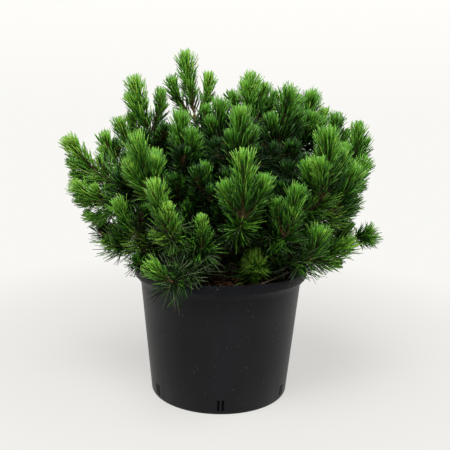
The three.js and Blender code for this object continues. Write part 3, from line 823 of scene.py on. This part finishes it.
def tube_arrays(line, radii, swell):
    """Points and quads of a tapering twig, with its ends closed to a point."""
    count = max(3, int(line.length / TWIG_RING))
    centres, _, across, over = frames(line, np.linspace(0, line.length, count + 1))
    angles = np.linspace(0, 2 * math.pi, TWIG_SIDES, endpoint=False)
    size = np.linspace(*radii, count + 1)[:, None] * (1 + swell * rng.uniform(-1, 1, (count + 1, TWIG_SIDES)))
    size[[0, -1]] *= 0.05
    around = swung(across[:, None], over[:, None], angles)
    points = (centres[:, None] + around * size[..., None]).reshape(-1, 3)
    k, i = np.meshgrid(np.arange(count) * TWIG_SIDES, np.arange(TWIG_SIDES), indexing="ij")
    j = (i + 1) % TWIG_SIDES
    quads = np.stack([k + i, k + j, k + TWIG_SIDES + j, k + TWIG_SIDES + i], axis=-1)
    return points, quads.reshape(-1, 4)


def joined_piece(name, arrays, finish, smooth=True):
    """A piece from points in millimetres and from faces that all have the same number of corners."""
    points, faces = arrays
    corners = faces.shape[1]
    mesh = bpy.data.meshes.new(name)
    mesh.vertices.add(len(points))
    mesh.vertices.foreach_set("co", (points * MM).astype(np.float32).ravel())
    mesh.loops.add(faces.size)
    mesh.loops.foreach_set("vertex_index", faces.astype(np.int32).ravel())
    mesh.polygons.add(len(faces))
    mesh.polygons.foreach_set("loop_start", np.arange(0, faces.size, corners, dtype=np.int32))
    mesh.polygons.foreach_set("use_smooth", np.full(len(faces), smooth))
    mesh.update(calc_edges=True)
    mesh.validate()
    return piece(name, mesh, finish)


def pile(parts):
    """Joins lists of (points, faces) into one pair of arrays."""
    shift = np.cumsum([0] + [len(points) for points, _ in parts[:-1]])
    points = np.concatenate([points for points, _ in parts])
    faces = np.concatenate([faces + offset for (_, faces), offset in zip(parts, shift)])
    return points, faces


young_parts, old_parts = [], []
for shoot in shoots:
    target = old_parts if shoot["age"] == "old" else young_parts
    target.append(tube_arrays(shoot["line"], shoot["radii"], swell=0.16))
for mass in masses:
    if not mass["has_bough"]:
        old_parts.append(tube_arrays(mass["spine"].cut(0, mass["bare"] + 3, 20), LONG_TWIG, swell=0.14))
print("twigs:", len(young_parts), "young and", len(old_parts), "older")

# %% [markdown]
# Small overlapping scales cover a pine twig, each a shade darker at its edge. A twig is orange-brown
# in its first year and greyer and darker in its second.

# %% Twig finishes
def twig_finish(name, dark, light):
    """Scaly twig bark from a light middle to the dark edge of each scale."""
    made, tree, shader, where = start_material(name, Roughness=0.8, IOR=1.45)
    scales = add(tree, "TexVoronoi", {"Vector": where, "Scale": per_metre(2.2)})["Distance"]
    tone = add(tree, "ValToRGB", {"Fac": scales}, [(0.1, light), (0.7, dark)])["Color"]
    relief = add(tree, "Bump", {"Height": scales, "Strength": 0.6, "Distance": 0.5 * MM})["Normal"]
    fill(tree, shader, {"Base Color": tone, "Normal": relief})
    return made


young_bark = twig_finish("young_pine_twig", "#412F1D", "#7A5A33")
stem_bark = twig_finish("two_year_pine_twig", "#2B2118", "#594731")
joined_piece("young_twigs", pile(young_parts), young_bark)
joined_piece("older_twigs", pile(old_parts), stem_bark)
piece("dead_branch", dead_mesh, stem_bark)

# %% [markdown]
# ## Needles
#
# Mugo needles come in pairs out of one brown sheath, set in a close spiral round the twig. A young
# shoot holds them close and upright, and on older wood they are longer, thinner on the ground and
# lean well out. Each needle here is three-sided, with one bend and a blunt tip: fourteen triangles.

# %% Where the needles stand
NEEDLE_FIELDS = "spacing length lean close width fan curl score weathered".split()
NEEDLE = {age: dict(zip(NEEDLE_FIELDS, row)) for age, *row in [
    # spacing of the pairs, length, angle off the twig at the root, turn towards it by the tip, width,
    # how far the angle and the turn differ from needle to needle, how pale, which is partly age and
    # partly painted shade on spurs and limbs inside the crown, and the weathered share
    ("leader", 0.74, 33, 42, 26, 1.7, 5.5, 7.5, 0.08, 0),
    ("side", 0.74, 26.5, 40, 24, 1.65, 5.5, 7.5, 0.08, 0),
    ("spur", 0.8, 26, 42, 20, 1.6, 7, 10, -0.24, 0),
    ("old", 0.8, 38.5, 58, 26, 1.5, 7, 12, -0.07, 0.12),
    ("limb", 0.9, 42, 62, 12, 1.45, 8, 14, -0.34, 0.1),
    ("star", 0.19, 27, 54, 8, 1.5, 18, 10, -0.05, 0),
    ("thin", 2.2, 46, 66, 4, 1.15, 16, 30, -0.25, 0.6),
    ("rosette", 0.26, 52, 84, -6, 1.25, 24, 24, -0.25, 0.45),
]}
AGES = list(NEEDLE)
YOUNG = ("leader", "side", "spur")
# How some masses differ from a plain one: the length of their young needles, how much paler all
# their needles are, which is painted light on masses in the light and painted shade on those in
# shade, the length of their old needles, and how much paler these are on top of that, painted the
# same way.
PLAIN = (1, 0, 1, 0)
HABIT = {
    "crest": (1, -0.05, 0.5, 0), "left_tower": (1, -0.04, 1, 0),
    "far_left": (1.05, 0, 1, 0.12), "left_front": (1, 0.06, 1, 0.25),
    "front_left": (0.95, 0.04, 1, 0.2), "front_centre": (1.05, -0.02, 1, 0.12),
    "right_front": (1.12, -0.05, 0.88, 0.2), "right_outer": (0.95, -0.17, 1, 0),
    "right_back": (1.05, -0.13, 1, 0), "back_top": (1.05, -0.05, 1, 0),
    "low_right": (1.05, -0.12, 1, 0), "left_bottom": (0.7, 0, 0.85, 0.05),
    "back_right": (1, -0.2, 1, 0), "front_low": (1, 0.22, 1, 0.16),
    "left_ball": (0.92, 0.04, 1, 0), "front_right": (1, -0.12, 1, 0.06),
    "right_side": (1.12, -0.13, 1, 0.42), "spur_right": (1, 0.1, 0.45, 0),
    "front_rim_left": (0.9, -0.1, 1, -0.16), "centre_top": (1, -0.08, 1, 0),
    "right_mid": (1.15, -0.15, 1, 0), "mid_left": (1.05, 0, 1, 0),
    "inner_front": (0.7, 0.05, 1, 0), "front_pin": (0.62, 0, 1, -0.06),
    "rim_right": (1.06, -0.07, 0.4, 0), "left_fill": (1, 0.05, 1, 0.35),
    "left_low": (0.95, 0, 1, 0), "right_shoulder": (1, -0.17, 1, 0),
    "left_horn": (0.92, 0.06, 1, 0.1), "free": (1, -0.1, 1, 0),
}
GOLDEN = math.radians(137.5)
PAIR_OPEN = 6.5  # degrees between each needle of a pair and the middle of the pair
BARE_FOOT = 4.0  # length without needles at the foot of a young shoot
BARE_FEET = {"crest": 12.0, "front_rim_left": 9.0}
CROWDED = 0.75  # below 1, a young shoot is set more thinly at its foot than at its tip
DOME = 6.0  # length at the tip over which some needles stand up and fill the middle
DOME_NEEDLES = 18  # pairs that are added there
JITTER = 0.4  # how far a pair stands off its even place, as a share of the spacing
TWIG_HALF = 1.2  # from the middle of the twig out to a needle's root
UNEVEN = 0.07  # how much the pairs of a shoot differ in length
# Painted light: a shoot that ends farther out in the crown gets a paler colour, as if lit more
EDGE_LIGHT = 0.6  # how much paler a shoot is for each reach farther out in the crown
STARS = {"spur_right": 27.0, "front_low": 36.0}  # masses with needles only on this last length of the shoot
OPEN_ENDS = {"left_bottom": 0.6}  # the share of its shoots that a thin mass has needles on, and old ones
LIMB_BARE = {"spur_right": 0.85, "rim_right": 0.8}  # the bare share of some boughs
MOST_LIMBS_BARE = 0.4
LOW_MASS = 430.0  # a mass that tops out lower has thin needles all along its stem
ROSETTES = ("front_rim_left", "front_low")  # low forks with old needles all round them
CROWN_MIDDLE = np.array([0.0, 0.0, 400.0])
CROWN_REACH = np.array([285.0, 225.0, 235.0])
print("kinds of needle:", ", ".join(AGES))

# %% [markdown]
# A spray is all the needles of one twig. The pairs wind up the twig by the golden angle, as leaves
# on most plants do, and each leans, bends and grows a little by chance.

# %% One spray
def spray(line, age, name):
    """Roots, directions and sizes of the needle pairs along a line of a mass."""
    kind = NEEDLE[age]
    young = age in YOUNG
    foot = BARE_FEET.get(name, BARE_FOOT) if young else 0.0
    s = np.arange(foot, line.length - 0.3, kind["spacing"])
    if young:
        s = np.concatenate([s, np.linspace(line.length - 3, line.length - 0.2, DOME_NEEDLES)])
    s = np.clip(s + rng.uniform(-JITTER, JITTER, len(s)) * kind["spacing"], 0, line.length)
    if young:
        s = foot + (line.length - foot) * ((s - foot).clip(0) / (line.length - foot)) ** CROWDED
    share = s / line.length
    centres, ahead, across, over = frames(line, s)
    turn = np.arange(len(s)) * GOLDEN + rng.normal(0, 0.25, len(s))
    out = swung(across, over, turn)
    dome = np.clip(1 - (line.length - s) / DOME, 0, 1) if young else 0.0
    upright = dome * rng.uniform(0, 1, len(s))
    lean = np.radians(kind["lean"] * (1 + 0.08 * dome - 0.95 * upright) + rng.normal(0, kind["fan"], len(s)))
    way = swung(ahead, out, lean)
    side = np.cross(way, out)
    side /= norm(side, axis=1, keepdims=True)
    vigour, light, old_vigour, old_painted_light = HABIT.get(name, PLAIN)
    vigour = vigour if young else 1.0 if age == "star" else old_vigour
    length = kind["length"] * vigour * rng.normal(1, UNEVEN, len(s)).clip(0.86, 1.12)
    length *= 1 - 0.15 * dome - 0.12 * upright
    close = -0.5 * kind["close"] * (1 + 0.6 * dome - 0.9 * upright)
    bend = close + kind["curl"] * rng.normal(0, 1, len(s)).clip(-1.6, 1.6)
    # Painted light and shade: a spray is paler farther out in the crown, and paler or darker by its mass.
    outer = min(1.0, norm((line.points[-1] - CROWN_MIDDLE) / CROWN_REACH))
    light = EDGE_LIGHT * (outer - 0.8) + light + rng.normal(0, 0.05) + (0.0 if young else old_painted_light)
    return {"root": centres + out * TWIG_HALF, "way": way, "side": side, "rise": np.cross(side, way),
            "bend": bend, "length": length, "width": kind["width"], "share": share, "light": light,
            "age": AGES.index(age)}


print("from one pair to the next:", round(math.degrees(GOLDEN), 1), "degrees")

# %% [markdown]
# Every needle has a twin. Both leave the same sheath and open a little to each side.

# %% Pairs and all the sprays
def paired(sprays):
    """Both needles of every pair, as long arrays."""
    halves = []
    for one in sprays:
        n = len(one["length"])
        for sign in (-1, 1):
            opened = np.radians(PAIR_OPEN * sign + rng.normal(0, 2.0, n))
            halves.append({
                "root": one["root"], "rise": one["rise"], "share": one["share"],
                "way": swung(one["way"], one["side"], opened),
                "side": swung(one["side"], -one["way"], opened),
                "length": one["length"] * rng.normal(1, 0.04, n),
                "width": one["width"] * rng.normal(1, 0.08, n),
                "bend": one["bend"] + rng.normal(0, 1.5, n),
                "light": np.full(n, one["light"]), "age": np.full(n, one["age"]),
                "first": np.full(n, sign < 0),
            })
    return {key: np.concatenate([half[key] for half in halves]) for key in halves[0]}


sprays = []
for shoot in shoots:
    line, age, name = shoot["line"], shoot["age"], shoot["mass"]
    if name in STARS:
        if age != "leader":
            continue
        age, line = "star", line.cut(line.length - STARS[name], line.length)
    elif name in OPEN_ENDS and age != "old":
        age, line = "old", line.cut(0, line.length * OPEN_ENDS[name])
    sprays.append(spray(line, age, name))
for name, limb in limbs.items():
    if name != "trunk":
        whole = limb["line"].length
        line = limb["line"].cut(LIMB_BARE.get(name, MOST_LIMBS_BARE) * whole, whole, 20)
        sprays += [spray(line, "limb", name), spray(line, "thin", name)]
for mass in masses:
    if mass["height"] < LOW_MASS and mass["name"] != "left_low":
        sprays.append(spray(mass["stem"], "thin", mass["name"]))
    if mass["name"] in ROSETTES:
        sprays.append(spray(mass["leader"].cut(0, 6, 4), "rosette", mass["name"]))
needles = paired(sprays)
print("needles:", len(needles["length"]))

# %% [markdown]
# A needle that would run into the soil or through the pot's wall or rim is left out, just as one
# would be bent aside there.

# %% Needles clear of the pot
SHOULDER = {"height": 206, "radius": 149, "slope": 0.09}  # where the wall bends out to the rim


def needle_points(n, shares):
    """Points along each needle: a straight start that bends towards or away from the twig."""
    curl = np.radians(n["bend"])[:, None, None]
    t = np.asarray(shares)[None, :, None]
    reach = n["length"][:, None, None] * t
    return n["root"][:, None] + n["way"][:, None] * reach + n["rise"][:, None] * reach * t * curl


def blocked(points):
    """Whether any of a needle's points is inside the soil, the pot's wall or its rim."""
    r = np.hypot(points[..., 0], points[..., 1])
    z = points[..., 2]
    wall = SHOULDER["radius"] + (z - SHOULDER["height"]) * SHOULDER["slope"]
    outside = np.where(z > SHOULDER["height"], RIM_RADIUS + 2, wall + 3)
    in_soil = (r < RIM_RADIUS) & (z < SOIL_TOP + 1)
    in_wall = (z < RIM_TOP + 2) & (r > SHOULDER["radius"] + 1) & (r < outside)
    return np.any(in_soil | in_wall, axis=1)


along = needle_points(needles, [0.25, 0.5, 0.75, 1.0])
lowest = np.where(needles["root"][:, 0] < -150, RIM_TOP - 14, RIM_TOP)
hangs = (needles["age"] == AGES.index("thin")) & (along[..., 2].min(axis=1) < lowest)
kept = ~blocked(along) & ~hangs
needles = {key: value[kept] for key, value in needles.items()}
print("needles clear of the pot:", len(needles["length"]))

# %% [markdown]
# Colour is dealt out by spray. New growth is yellow-green and opens from the tip, the middle of a
# shoot is a full green, and what is old is dark. Painted light and shade go into the same score: a
# shoot is paler farther out in the crown and darker at its foot and inside the crown. The same
# score, with some chance in it, picks one of a few plain colours for each needle.

# %% Tints
TINTS = [
    # name, colour, how much it shines; besides age they are lit and shaded copies of one green,
    # and the darker ones shine less as part of their painted shade
    ("shaded", "#0C2106", 0.13),
    ("old", "#1D410C", 0.17),
    ("deep", "#356615", 0.26),
    ("full", "#4B821C", 0.32),
    ("bright", "#5D8F25", 0.34),
    ("fresh", "#769D33", 0.34),
    ("weathered", "#4C5C3C", 0.2),
]
# plain is the middle, tip is paler new growth with a painted highlight, foot is a painted shade at a shoot's
# foot, and chance differs at random
SCORE = {"plain": 0.45, "tip": 0.19, "foot": -0.3, "chance": 0.16}

share = needles["share"]
score = SCORE["plain"] + SCORE["tip"] * share ** 2 + SCORE["foot"] * (1 - share) ** 2 + needles["light"]
score += np.array([NEEDLE[age]["score"] for age in AGES])[needles["age"]]
score += rng.normal(0, SCORE["chance"], len(score))
living = len(TINTS) - 1
tint_of = np.clip((score * living).astype(int), 0, living - 1)
weathering = np.array([NEEDLE[age]["weathered"] for age in AGES])
tint_of[rng.uniform(size=len(score)) < weathering[needles["age"]]] = living
print("needles by tint:", dict(zip([t[0] for t in TINTS], np.bincount(tint_of, minlength=len(TINTS)))))

# %% [markdown]
# A needle and a sheath are both thin three-sided tubes, so one function makes the points and the
# triangles of many at once. Long arrays are cut into pieces that stay small enough to hand on.

# %% Needle meshes
MOST_NEEDLES = 14000  # needles in one piece, at fourteen triangles each
MOST_SHEATHS = 24000  # the same for sheaths, at eight
SHEATH = {"length": 7.5, "foot": 1.1, "end": 0.85, "root": 0.8}


def prisms(n, middle, sizes):
    """Points and triangles of closed three-sided tubes along their middle points."""
    ring = swung(n["side"][:, None], n["rise"][:, None], np.radians([90.0, 210.0, 330.0]))
    rings = [middle[:, k:k + 1] + ring * size for k, size in enumerate(sizes)]
    points = np.concatenate(rings, axis=1).reshape(-1, 3)
    last = 3 * len(rings) - 3
    shape = [[0, 2, 1], [last, last + 1, last + 2]]
    for foot in range(0, last, 3):
        for i in range(3):
            j = (i + 1) % 3
            shape += [[foot + i, foot + j, foot + 3 + j], [foot + i, foot + 3 + j, foot + 3 + i]]
    faces = np.array(shape)[None] + (np.arange(len(middle)) * (last + 3))[:, None, None]
    return points, faces.reshape(-1, 3)


def needle_arrays(n):
    """Bent needles with a blunt tip."""
    half = n["width"][:, None, None] * 0.5
    return prisms(n, needle_points(n, [0.0, 0.6, 1.0]), (half * 0.8, half, half * 0.6))


def sheath_arrays(n):
    """Short tubes round the foot of each pair."""
    ends = [n["root"] - n["way"] * SHEATH["root"], n["root"] + n["way"] * SHEATH["length"]]
    return prisms(n, np.stack(ends, axis=1), (SHEATH["foot"], SHEATH["end"]))


def in_pieces(name, chosen, most, arrays, finish, smooth):
    """Pieces of no more than this many of the chosen needles, or of what stands for them."""
    made = []
    for begin in range(0, len(chosen), most):
        some = {key: value[chosen[begin:begin + most]] for key, value in needles.items()}
        made.append(joined_piece(f"{name}_{len(made) + 1}", arrays(some), finish, smooth))
    return made


# %% [markdown]
# Each pair comes out of one papery brown sheath. The sheaths are what makes a shoot look brown along
# its middle, so they are modelled too, on every shoot that has its own needles.

# %% Sheaths
papery, tree, shader, where = start_material("papery_needle_sheath", Roughness=0.7, IOR=1.45)
blotches = add(tree, "TexNoise", {"Vector": where, "Scale": per_metre(4.0)})["Fac"]
tone = add(tree, "ValToRGB", {"Fac": blotches}, [(0.35, "#433220"), (0.65, "#75593A")])["Color"]
fill(tree, shader, {"Base Color": tone})
own = np.isin(needles["age"], [AGES.index(age) for age in YOUNG])
pairs = np.flatnonzero(own & needles["first"])
in_pieces("sheaths", pairs, MOST_SHEATHS, sheath_arrays, papery, smooth=False)

# %% [markdown]
# A needle has a thin coat of wax. Its colour is plain, and a soft sheen runs along its length.

# %% Needle pieces
needle_pieces = []
for index, (tint, colour, sheen) in enumerate(TINTS):
    waxy, tree, shader, where = start_material(f"{tint}_pine_needle", Roughness=0.38, IOR=1.45,
                                               Specular_IOR_Level=sheen, Base_Color=linear(colour))
    wax = add(tree, "TexNoise", {"Vector": where, "Scale": per_metre(3.0), "Detail": 1.0})["Fac"]
    relief = add(tree, "Bump", {"Height": wax, "Strength": 0.2, "Distance": 0.2 * MM})["Normal"]
    fill(tree, shader, {"Normal": relief})
    chosen = np.flatnonzero(tint_of == index)
    needle_pieces += in_pieces(f"needles_{tint}", chosen, MOST_NEEDLES, needle_arrays, waxy, smooth=True)

needle_nodes = [n for n in nodes if n.startswith("needles_")]
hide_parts(*needle_nodes)

# %% [markdown]
# ## The pot
#
# The pot is injection-moulded polypropylene. Its outline is drawn once and spun round its axis, as
# the mould itself is turned. Its drain slots are then cut where the wall meets the floor.

# %% The pot's outline
POT = {"foot": 129.0, "shoulder": 149.0, "band": 16.0, "slope": 14.0, "lip": 4.5, "wall": 2.4, "floor": 3.0}


def pot_outline():
    """Radius and height of the outline, from the middle of the underside round to the inner floor."""
    foot, shoulder, rim, top = POT["foot"], POT["shoulder"], RIM_RADIUS, RIM_TOP
    band_foot = top - POT["band"]
    bend = band_foot - POT["slope"]
    lip = rim - POT["lip"]
    outside = [
        (0, 1.2), (foot - 14, 1.2), (foot - 12, 0), (foot - 3, 0), (foot - 1, 0.6), (foot, 2.6),
        (foot + 6.5, 70), (foot + 13.3, 140), (shoulder, bend), (rim - 2.5, band_foot - 1.5),
        (rim - 0.6, band_foot), (rim, band_foot + 1.8), (rim, top - 2.4), (rim - 0.7, top - 0.7),
        (rim - 2.2, top),
    ]
    inside = [
        (lip + 1.0, top), (lip, top - 0.9), (lip, band_foot + 1), (shoulder - POT["wall"], bend),
        (foot - POT["wall"], POT["floor"]), (0, POT["floor"]),
    ]
    return outside + inside


pot_bm = spun(pot_outline(), steps=180)
print("pot before its slots:", len(pot_bm.faces), "faces")

# %% [markdown]
# Water drains through six pairs of narrow slots. Four planes cut the outline of a slot into the
# wall's two skins, the faces inside it go, and a band of faces joins the edges that are left.

# %% Drain slots
SLOT = {"count": 6, "first": -88.0, "width": 4.2, "apart": 7.6, "low": 7.0, "high": 27.5}
WALL_FROM = 0.11  # metres from the axis: farther out a face belongs to the wall
NEAR_SLOT = 0.02  # metres to each side of a slot where the planes cut


def cut_slot(bm, bearing):
    """Cuts one slot through the wall and lines its edges."""
    out, up = Vector((math.cos(bearing), math.sin(bearing), 0)), Vector((0, 0, 1))
    flat = Vector((-out.y, out.x, 0))
    half = SLOT["width"] / 2 * MM
    low, high = SLOT["low"] * MM, SLOT["high"] * MM

    def faces_within(reach):
        middles = [(f, f.calc_center_median()) for f in bm.faces]
        return [(f, m) for f, m in middles if m.dot(out) > WALL_FROM and abs(m.dot(flat)) < reach]

    for at, normal in ((flat * half, flat), (flat * -half, flat), (up * low, up), (up * high, up)):
        geom = dict.fromkeys(g for f, _ in faces_within(NEAR_SLOT) for g in (f, *f.edges, *f.verts))
        bmesh.ops.bisect_plane(bm, geom=list(geom), dist=1e-7, plane_co=at, plane_no=normal)
    inside = [f for f, m in faces_within(half) if low < m.z < high]
    rim = dict.fromkeys(e for f in inside for e in f.edges if sum(g in inside for g in e.link_faces) == 1)
    bmesh.ops.delete(bm, geom=inside, context="FACES")
    bmesh.ops.bridge_loops(bm, edges=[e for e in rim if e.is_valid])


half_apart = SLOT["apart"] / 2 / POT["foot"]
for k in range(SLOT["count"]):
    middle = math.radians(SLOT["first"] + 360 * k / SLOT["count"])
    cut_slot(pot_bm, middle - half_apart)
    cut_slot(pot_bm, middle + half_apart)
open_edges = sum(1 for e in pot_bm.edges if len(e.link_faces) != 2)
print("pot with its slots:", len(pot_bm.faces), "faces,", open_edges, "open edges")

# %% [markdown]
# Black polypropylene is a satin plastic: dark, with soft reflections that grow strong where the
# wall turns away. Its reflection is weaker near the top, a painted shade for the needles and rim
# above it, and stronger lower down, where pots rub against each other. A nursery pot also picks up
# dust, dried splashes and fine scuffs.

# %% Moulded polypropylene
plastic, tree, shader, where = start_material("moulded_black_polypropylene", IOR=1.49, Roughness=0.42)
height = add(tree, "SeparateXYZ", {"Vector": where})["Z"]
# Painted shade: the reflection is weaker near the top of the wall, under the needles and rim, and stronger
# lower down, where pots rub.
polish_and_painted_shade = add(tree, "MapRange", {"Value": height, "From Min": 0.15, "From Max": 0.235,
                                "To Min": 0.19, "To Max": 0.1}, interpolation_type="SMOOTHSTEP")["Result"]
upright = add(tree, "Mapping", {"Vector": where, "Scale": (1.0, 1.0, 0.25)})["Vector"]
film = add(tree, "TexNoise", {"Vector": upright, "Scale": per_metre(40.0), "Detail": 8.0, "Roughness": 0.7})
black = add(tree, "ValToRGB", {"Fac": film["Fac"]}, [(0.35, "#0B0C0F"), (0.7, "#131419")])["Color"]
dots = add(tree, "TexVoronoi", {"Vector": where, "Scale": per_metre(11.0)})["Distance"]
spots = add(tree, "MapRange", {"Value": dots, "From Min": 0.17, "From Max": 0.07})["Result"]
areas = add(tree, "TexNoise", {"Vector": where, "Scale": per_metre(25.0)})["Fac"]
dusty = add(tree, "MapRange", {"Value": areas, "From Min": 0.46, "From Max": 0.54})["Result"]
specks = add(tree, "Math", {0: spots, 1: dusty}, operation="MULTIPLY")["Value"]
tone = add(tree, "Mix", {"Factor": specks, "A": black, "B": linear("#3E3B37")}, data_type="RGBA")["Result"]
scuffs = add(tree, "TexNoise", {"Vector": where, "Scale": per_metre(1.2), "Detail": 3.0})["Fac"]
relief = add(tree, "Bump", {"Height": scuffs, "Strength": 0.25, "Distance": 0.15 * MM})["Normal"]
fill(tree, shader, {"Base Color": tone, "Specular IOR Level": polish_and_painted_shade, "Normal": relief})
piece("nursery_pot", mesh_of("nursery_pot", pot_bm), plastic, ["pot"])

# %% [markdown]
# ## The soil
#
# The root ball fills the pot. Its top is a lumpy mix of peat and bark, so a spun disc is cut fine
# and its top is moved by noise. Deeper down, where the slots show it, it is darker, nearly black.

# %% Root ball
SOIL = {"edge": 148.3, "rings": 34, "steps": 150, "foot": 126.0, "bottom": 3.4, "shoulder": 209,
        "sunk": 4.0, "lumps": 4.6}


def soil_top(x, y):
    """Height of the soil at a place, in millimetres: level at the trunk, then lower and lumpier."""
    edge = min(1.0, max(0.0, (math.hypot(x, y) - 40) / 60))
    lumps = noise.fractal(Vector((x / 26, y / 26, 1.7)), 0.6, 2.1, 5) * SOIL["lumps"]
    return SOIL_TOP - 0.3 - SOIL["sunk"] * edge * edge + lumps * (0.25 + 0.75 * edge)


outline = [(0, SOIL["bottom"]), (SOIL["foot"], SOIL["bottom"]), (SOIL["edge"] - 2, SOIL["shoulder"])]
outline += [(SOIL["edge"] * (1 - k / SOIL["rings"]), SOIL_TOP) for k in range(SOIL["rings"] + 1)]
soil_bm = spun(outline, SOIL["steps"])
for v in soil_bm.verts:
    if v.co.z > (SOIL_TOP - 1) * MM:
        v.co.z = soil_top(v.co.x / MM, v.co.y / MM) * MM

substrate, tree, shader, where = start_material("moist_peat_and_bark", Roughness=0.95, IOR=1.35,
                                                Specular_IOR_Level=0.25)
peat = add(tree, "TexNoise", {"Vector": where, "Scale": per_metre(14.0), "Detail": 7.0, "Roughness": 0.7})
damp = add(tree, "ValToRGB", {"Fac": peat["Fac"]}, [(0.35, "#1B110C"), (0.55, "#2F1E15"), (0.75, "#4C3324")])
height = add(tree, "SeparateXYZ", {"Vector": where})["Z"]
# The root ball is darker towards the bottom, nearly black where the slots show it.
darker_below = add(tree, "MapRange", {"Value": height, "From Min": 0.2, "From Max": 0.16})["Result"]
tone = add(tree, "Mix", {"Factor": darker_below, "A": damp["Color"], "B": linear("#0E0B0A")}, data_type="RGBA")
clods = add(tree, "TexVoronoi", {"Vector": where, "Scale": per_metre(4.0)})["Distance"]
relief = add(tree, "Bump", {"Height": clods, "Strength": 0.9, "Distance": 1.6 * MM})["Normal"]
fill(tree, shader, {"Base Color": tone["Result"], "Normal": relief})
piece("root_ball", mesh_of("root_ball", soil_bm, 80), substrate, ["soil"])

# %% [markdown]
# Loose chips of bark lie on the peat. Each is a small box with its corners moved, which is enough at
# this size, and it lies nearly flat.

# %% Bark chips and crumbs
CHIPS = 900
CHIPS_REACH = 144
CHIP_HALVES = ((1.0, 5.0), (0.8, 2.6), (0.4, 1.3))  # half the length, width and thickness
corners = np.array([(x, y, z) for z in (-1, 1) for y in (-1, 1) for x in (-1, 1)], float)
box_faces = np.array([[0, 2, 3, 1], [4, 5, 7, 6], [0, 1, 5, 4], [2, 6, 7, 3], [0, 4, 6, 2], [1, 3, 7, 5]])
chip_parts = []
for _ in range(CHIPS):
    r = CHIPS_REACH * math.sqrt(rng.uniform(0.07, 1.0))
    a = rng.uniform(0, 2 * math.pi)
    x, y = r * math.cos(a), r * math.sin(a)
    half = np.array([rng.uniform(*limits) for limits in CHIP_HALVES])
    turn = Matrix.Rotation(rng.uniform(0, 6.3), 3, "Z") @ Matrix.Rotation(rng.normal(0, 0.35), 3, "X")
    shape = corners * half * rng.uniform(0.65, 1.15, corners.shape)
    chip_parts.append((shape @ np.array(turn).T + [x, y, soil_top(x, y) + 0.6], box_faces))
chip_bark, tree, shader, where = start_material("bark_chip", Roughness=0.9, IOR=1.4)
wear = add(tree, "TexNoise", {"Vector": where, "Scale": per_metre(9.0), "Detail": 4.0})["Fac"]
tone = add(tree, "ValToRGB", {"Fac": wear}, [(0.35, "#1A100B"), (0.5, "#36231A"), (0.66, "#5A3D2A")])["Color"]
grain = add(tree, "TexNoise", {"Vector": where, "Scale": per_metre(0.9), "Detail": 3.0})["Fac"]
relief = add(tree, "Bump", {"Height": grain, "Strength": 0.6, "Distance": 0.3 * MM})["Normal"]
fill(tree, shader, {"Base Color": tone, "Normal": relief})
joined_piece("bark_chips", pile(chip_parts), chip_bark, smooth=False)

# %% [markdown]
# Old needles fall, turn brown and lie flat on the soil at any angle. The needle helper makes them.

# %% Dry needles on the soil
LITTER = 520
LITTER_REACH = 138
SOIL_EDGE = 143  # a dry needle that would end farther out is left out


def litter():
    """Roots, directions and sizes of fallen needles."""
    r = LITTER_REACH * np.sqrt(rng.uniform(0.05, 1.0, LITTER))
    a = rng.uniform(0, 2 * math.pi, LITTER)
    x, y = r * np.cos(a), r * np.sin(a)
    z = np.array([soil_top(px, py) for px, py in zip(x, y)]) + rng.uniform(1.2, 3.4, LITTER)
    turn = rng.uniform(0, 2 * math.pi, LITTER)
    slope = rng.normal(0, 0.05, LITTER)
    way = np.stack([np.cos(turn), np.sin(turn), slope], axis=1)
    way /= norm(way, axis=1, keepdims=True)
    side = np.stack([-np.sin(turn), np.cos(turn), np.zeros(LITTER)], axis=1)
    length = rng.uniform(20, 36, LITTER)
    ends = np.stack([x, y], axis=1) + way[:, :2] * length[:, None]
    fits = np.hypot(ends[:, 0], ends[:, 1]) < SOIL_EDGE
    all_of = {"root": np.stack([x, y, z], axis=1), "way": way, "side": side, "rise": np.cross(way, side),
              "length": length, "width": rng.uniform(1.0, 1.5, LITTER), "bend": rng.normal(0, 6, LITTER)}
    return {key: value[fits] for key, value in all_of.items()}


dry, tree, shader, where = start_material("dry_pine_needle", Roughness=0.7, IOR=1.45)
blotches = add(tree, "TexNoise", {"Vector": where, "Scale": per_metre(16.0)})["Fac"]
tone = add(tree, "ValToRGB", {"Fac": blotches}, [(0.4, "#4B2F1B"), (0.6, "#8A6238")])["Color"]
fill(tree, shader, {"Base Color": tone})
joined_piece("dry_needles", needle_arrays(litter()), dry)

# %% [markdown]
# The dressed plant should stay close to the solids it stands in for, so the difference between both
# boxes is printed.

# %% Check of the sizes and the end
visual_box = [list(corner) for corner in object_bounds()]
grown = [[round((v - c) / MM, 1) for v, c in zip(*pair)] for pair in zip(visual_box, cad_box)]
print("visual box against the solids, in millimetres:", grown)
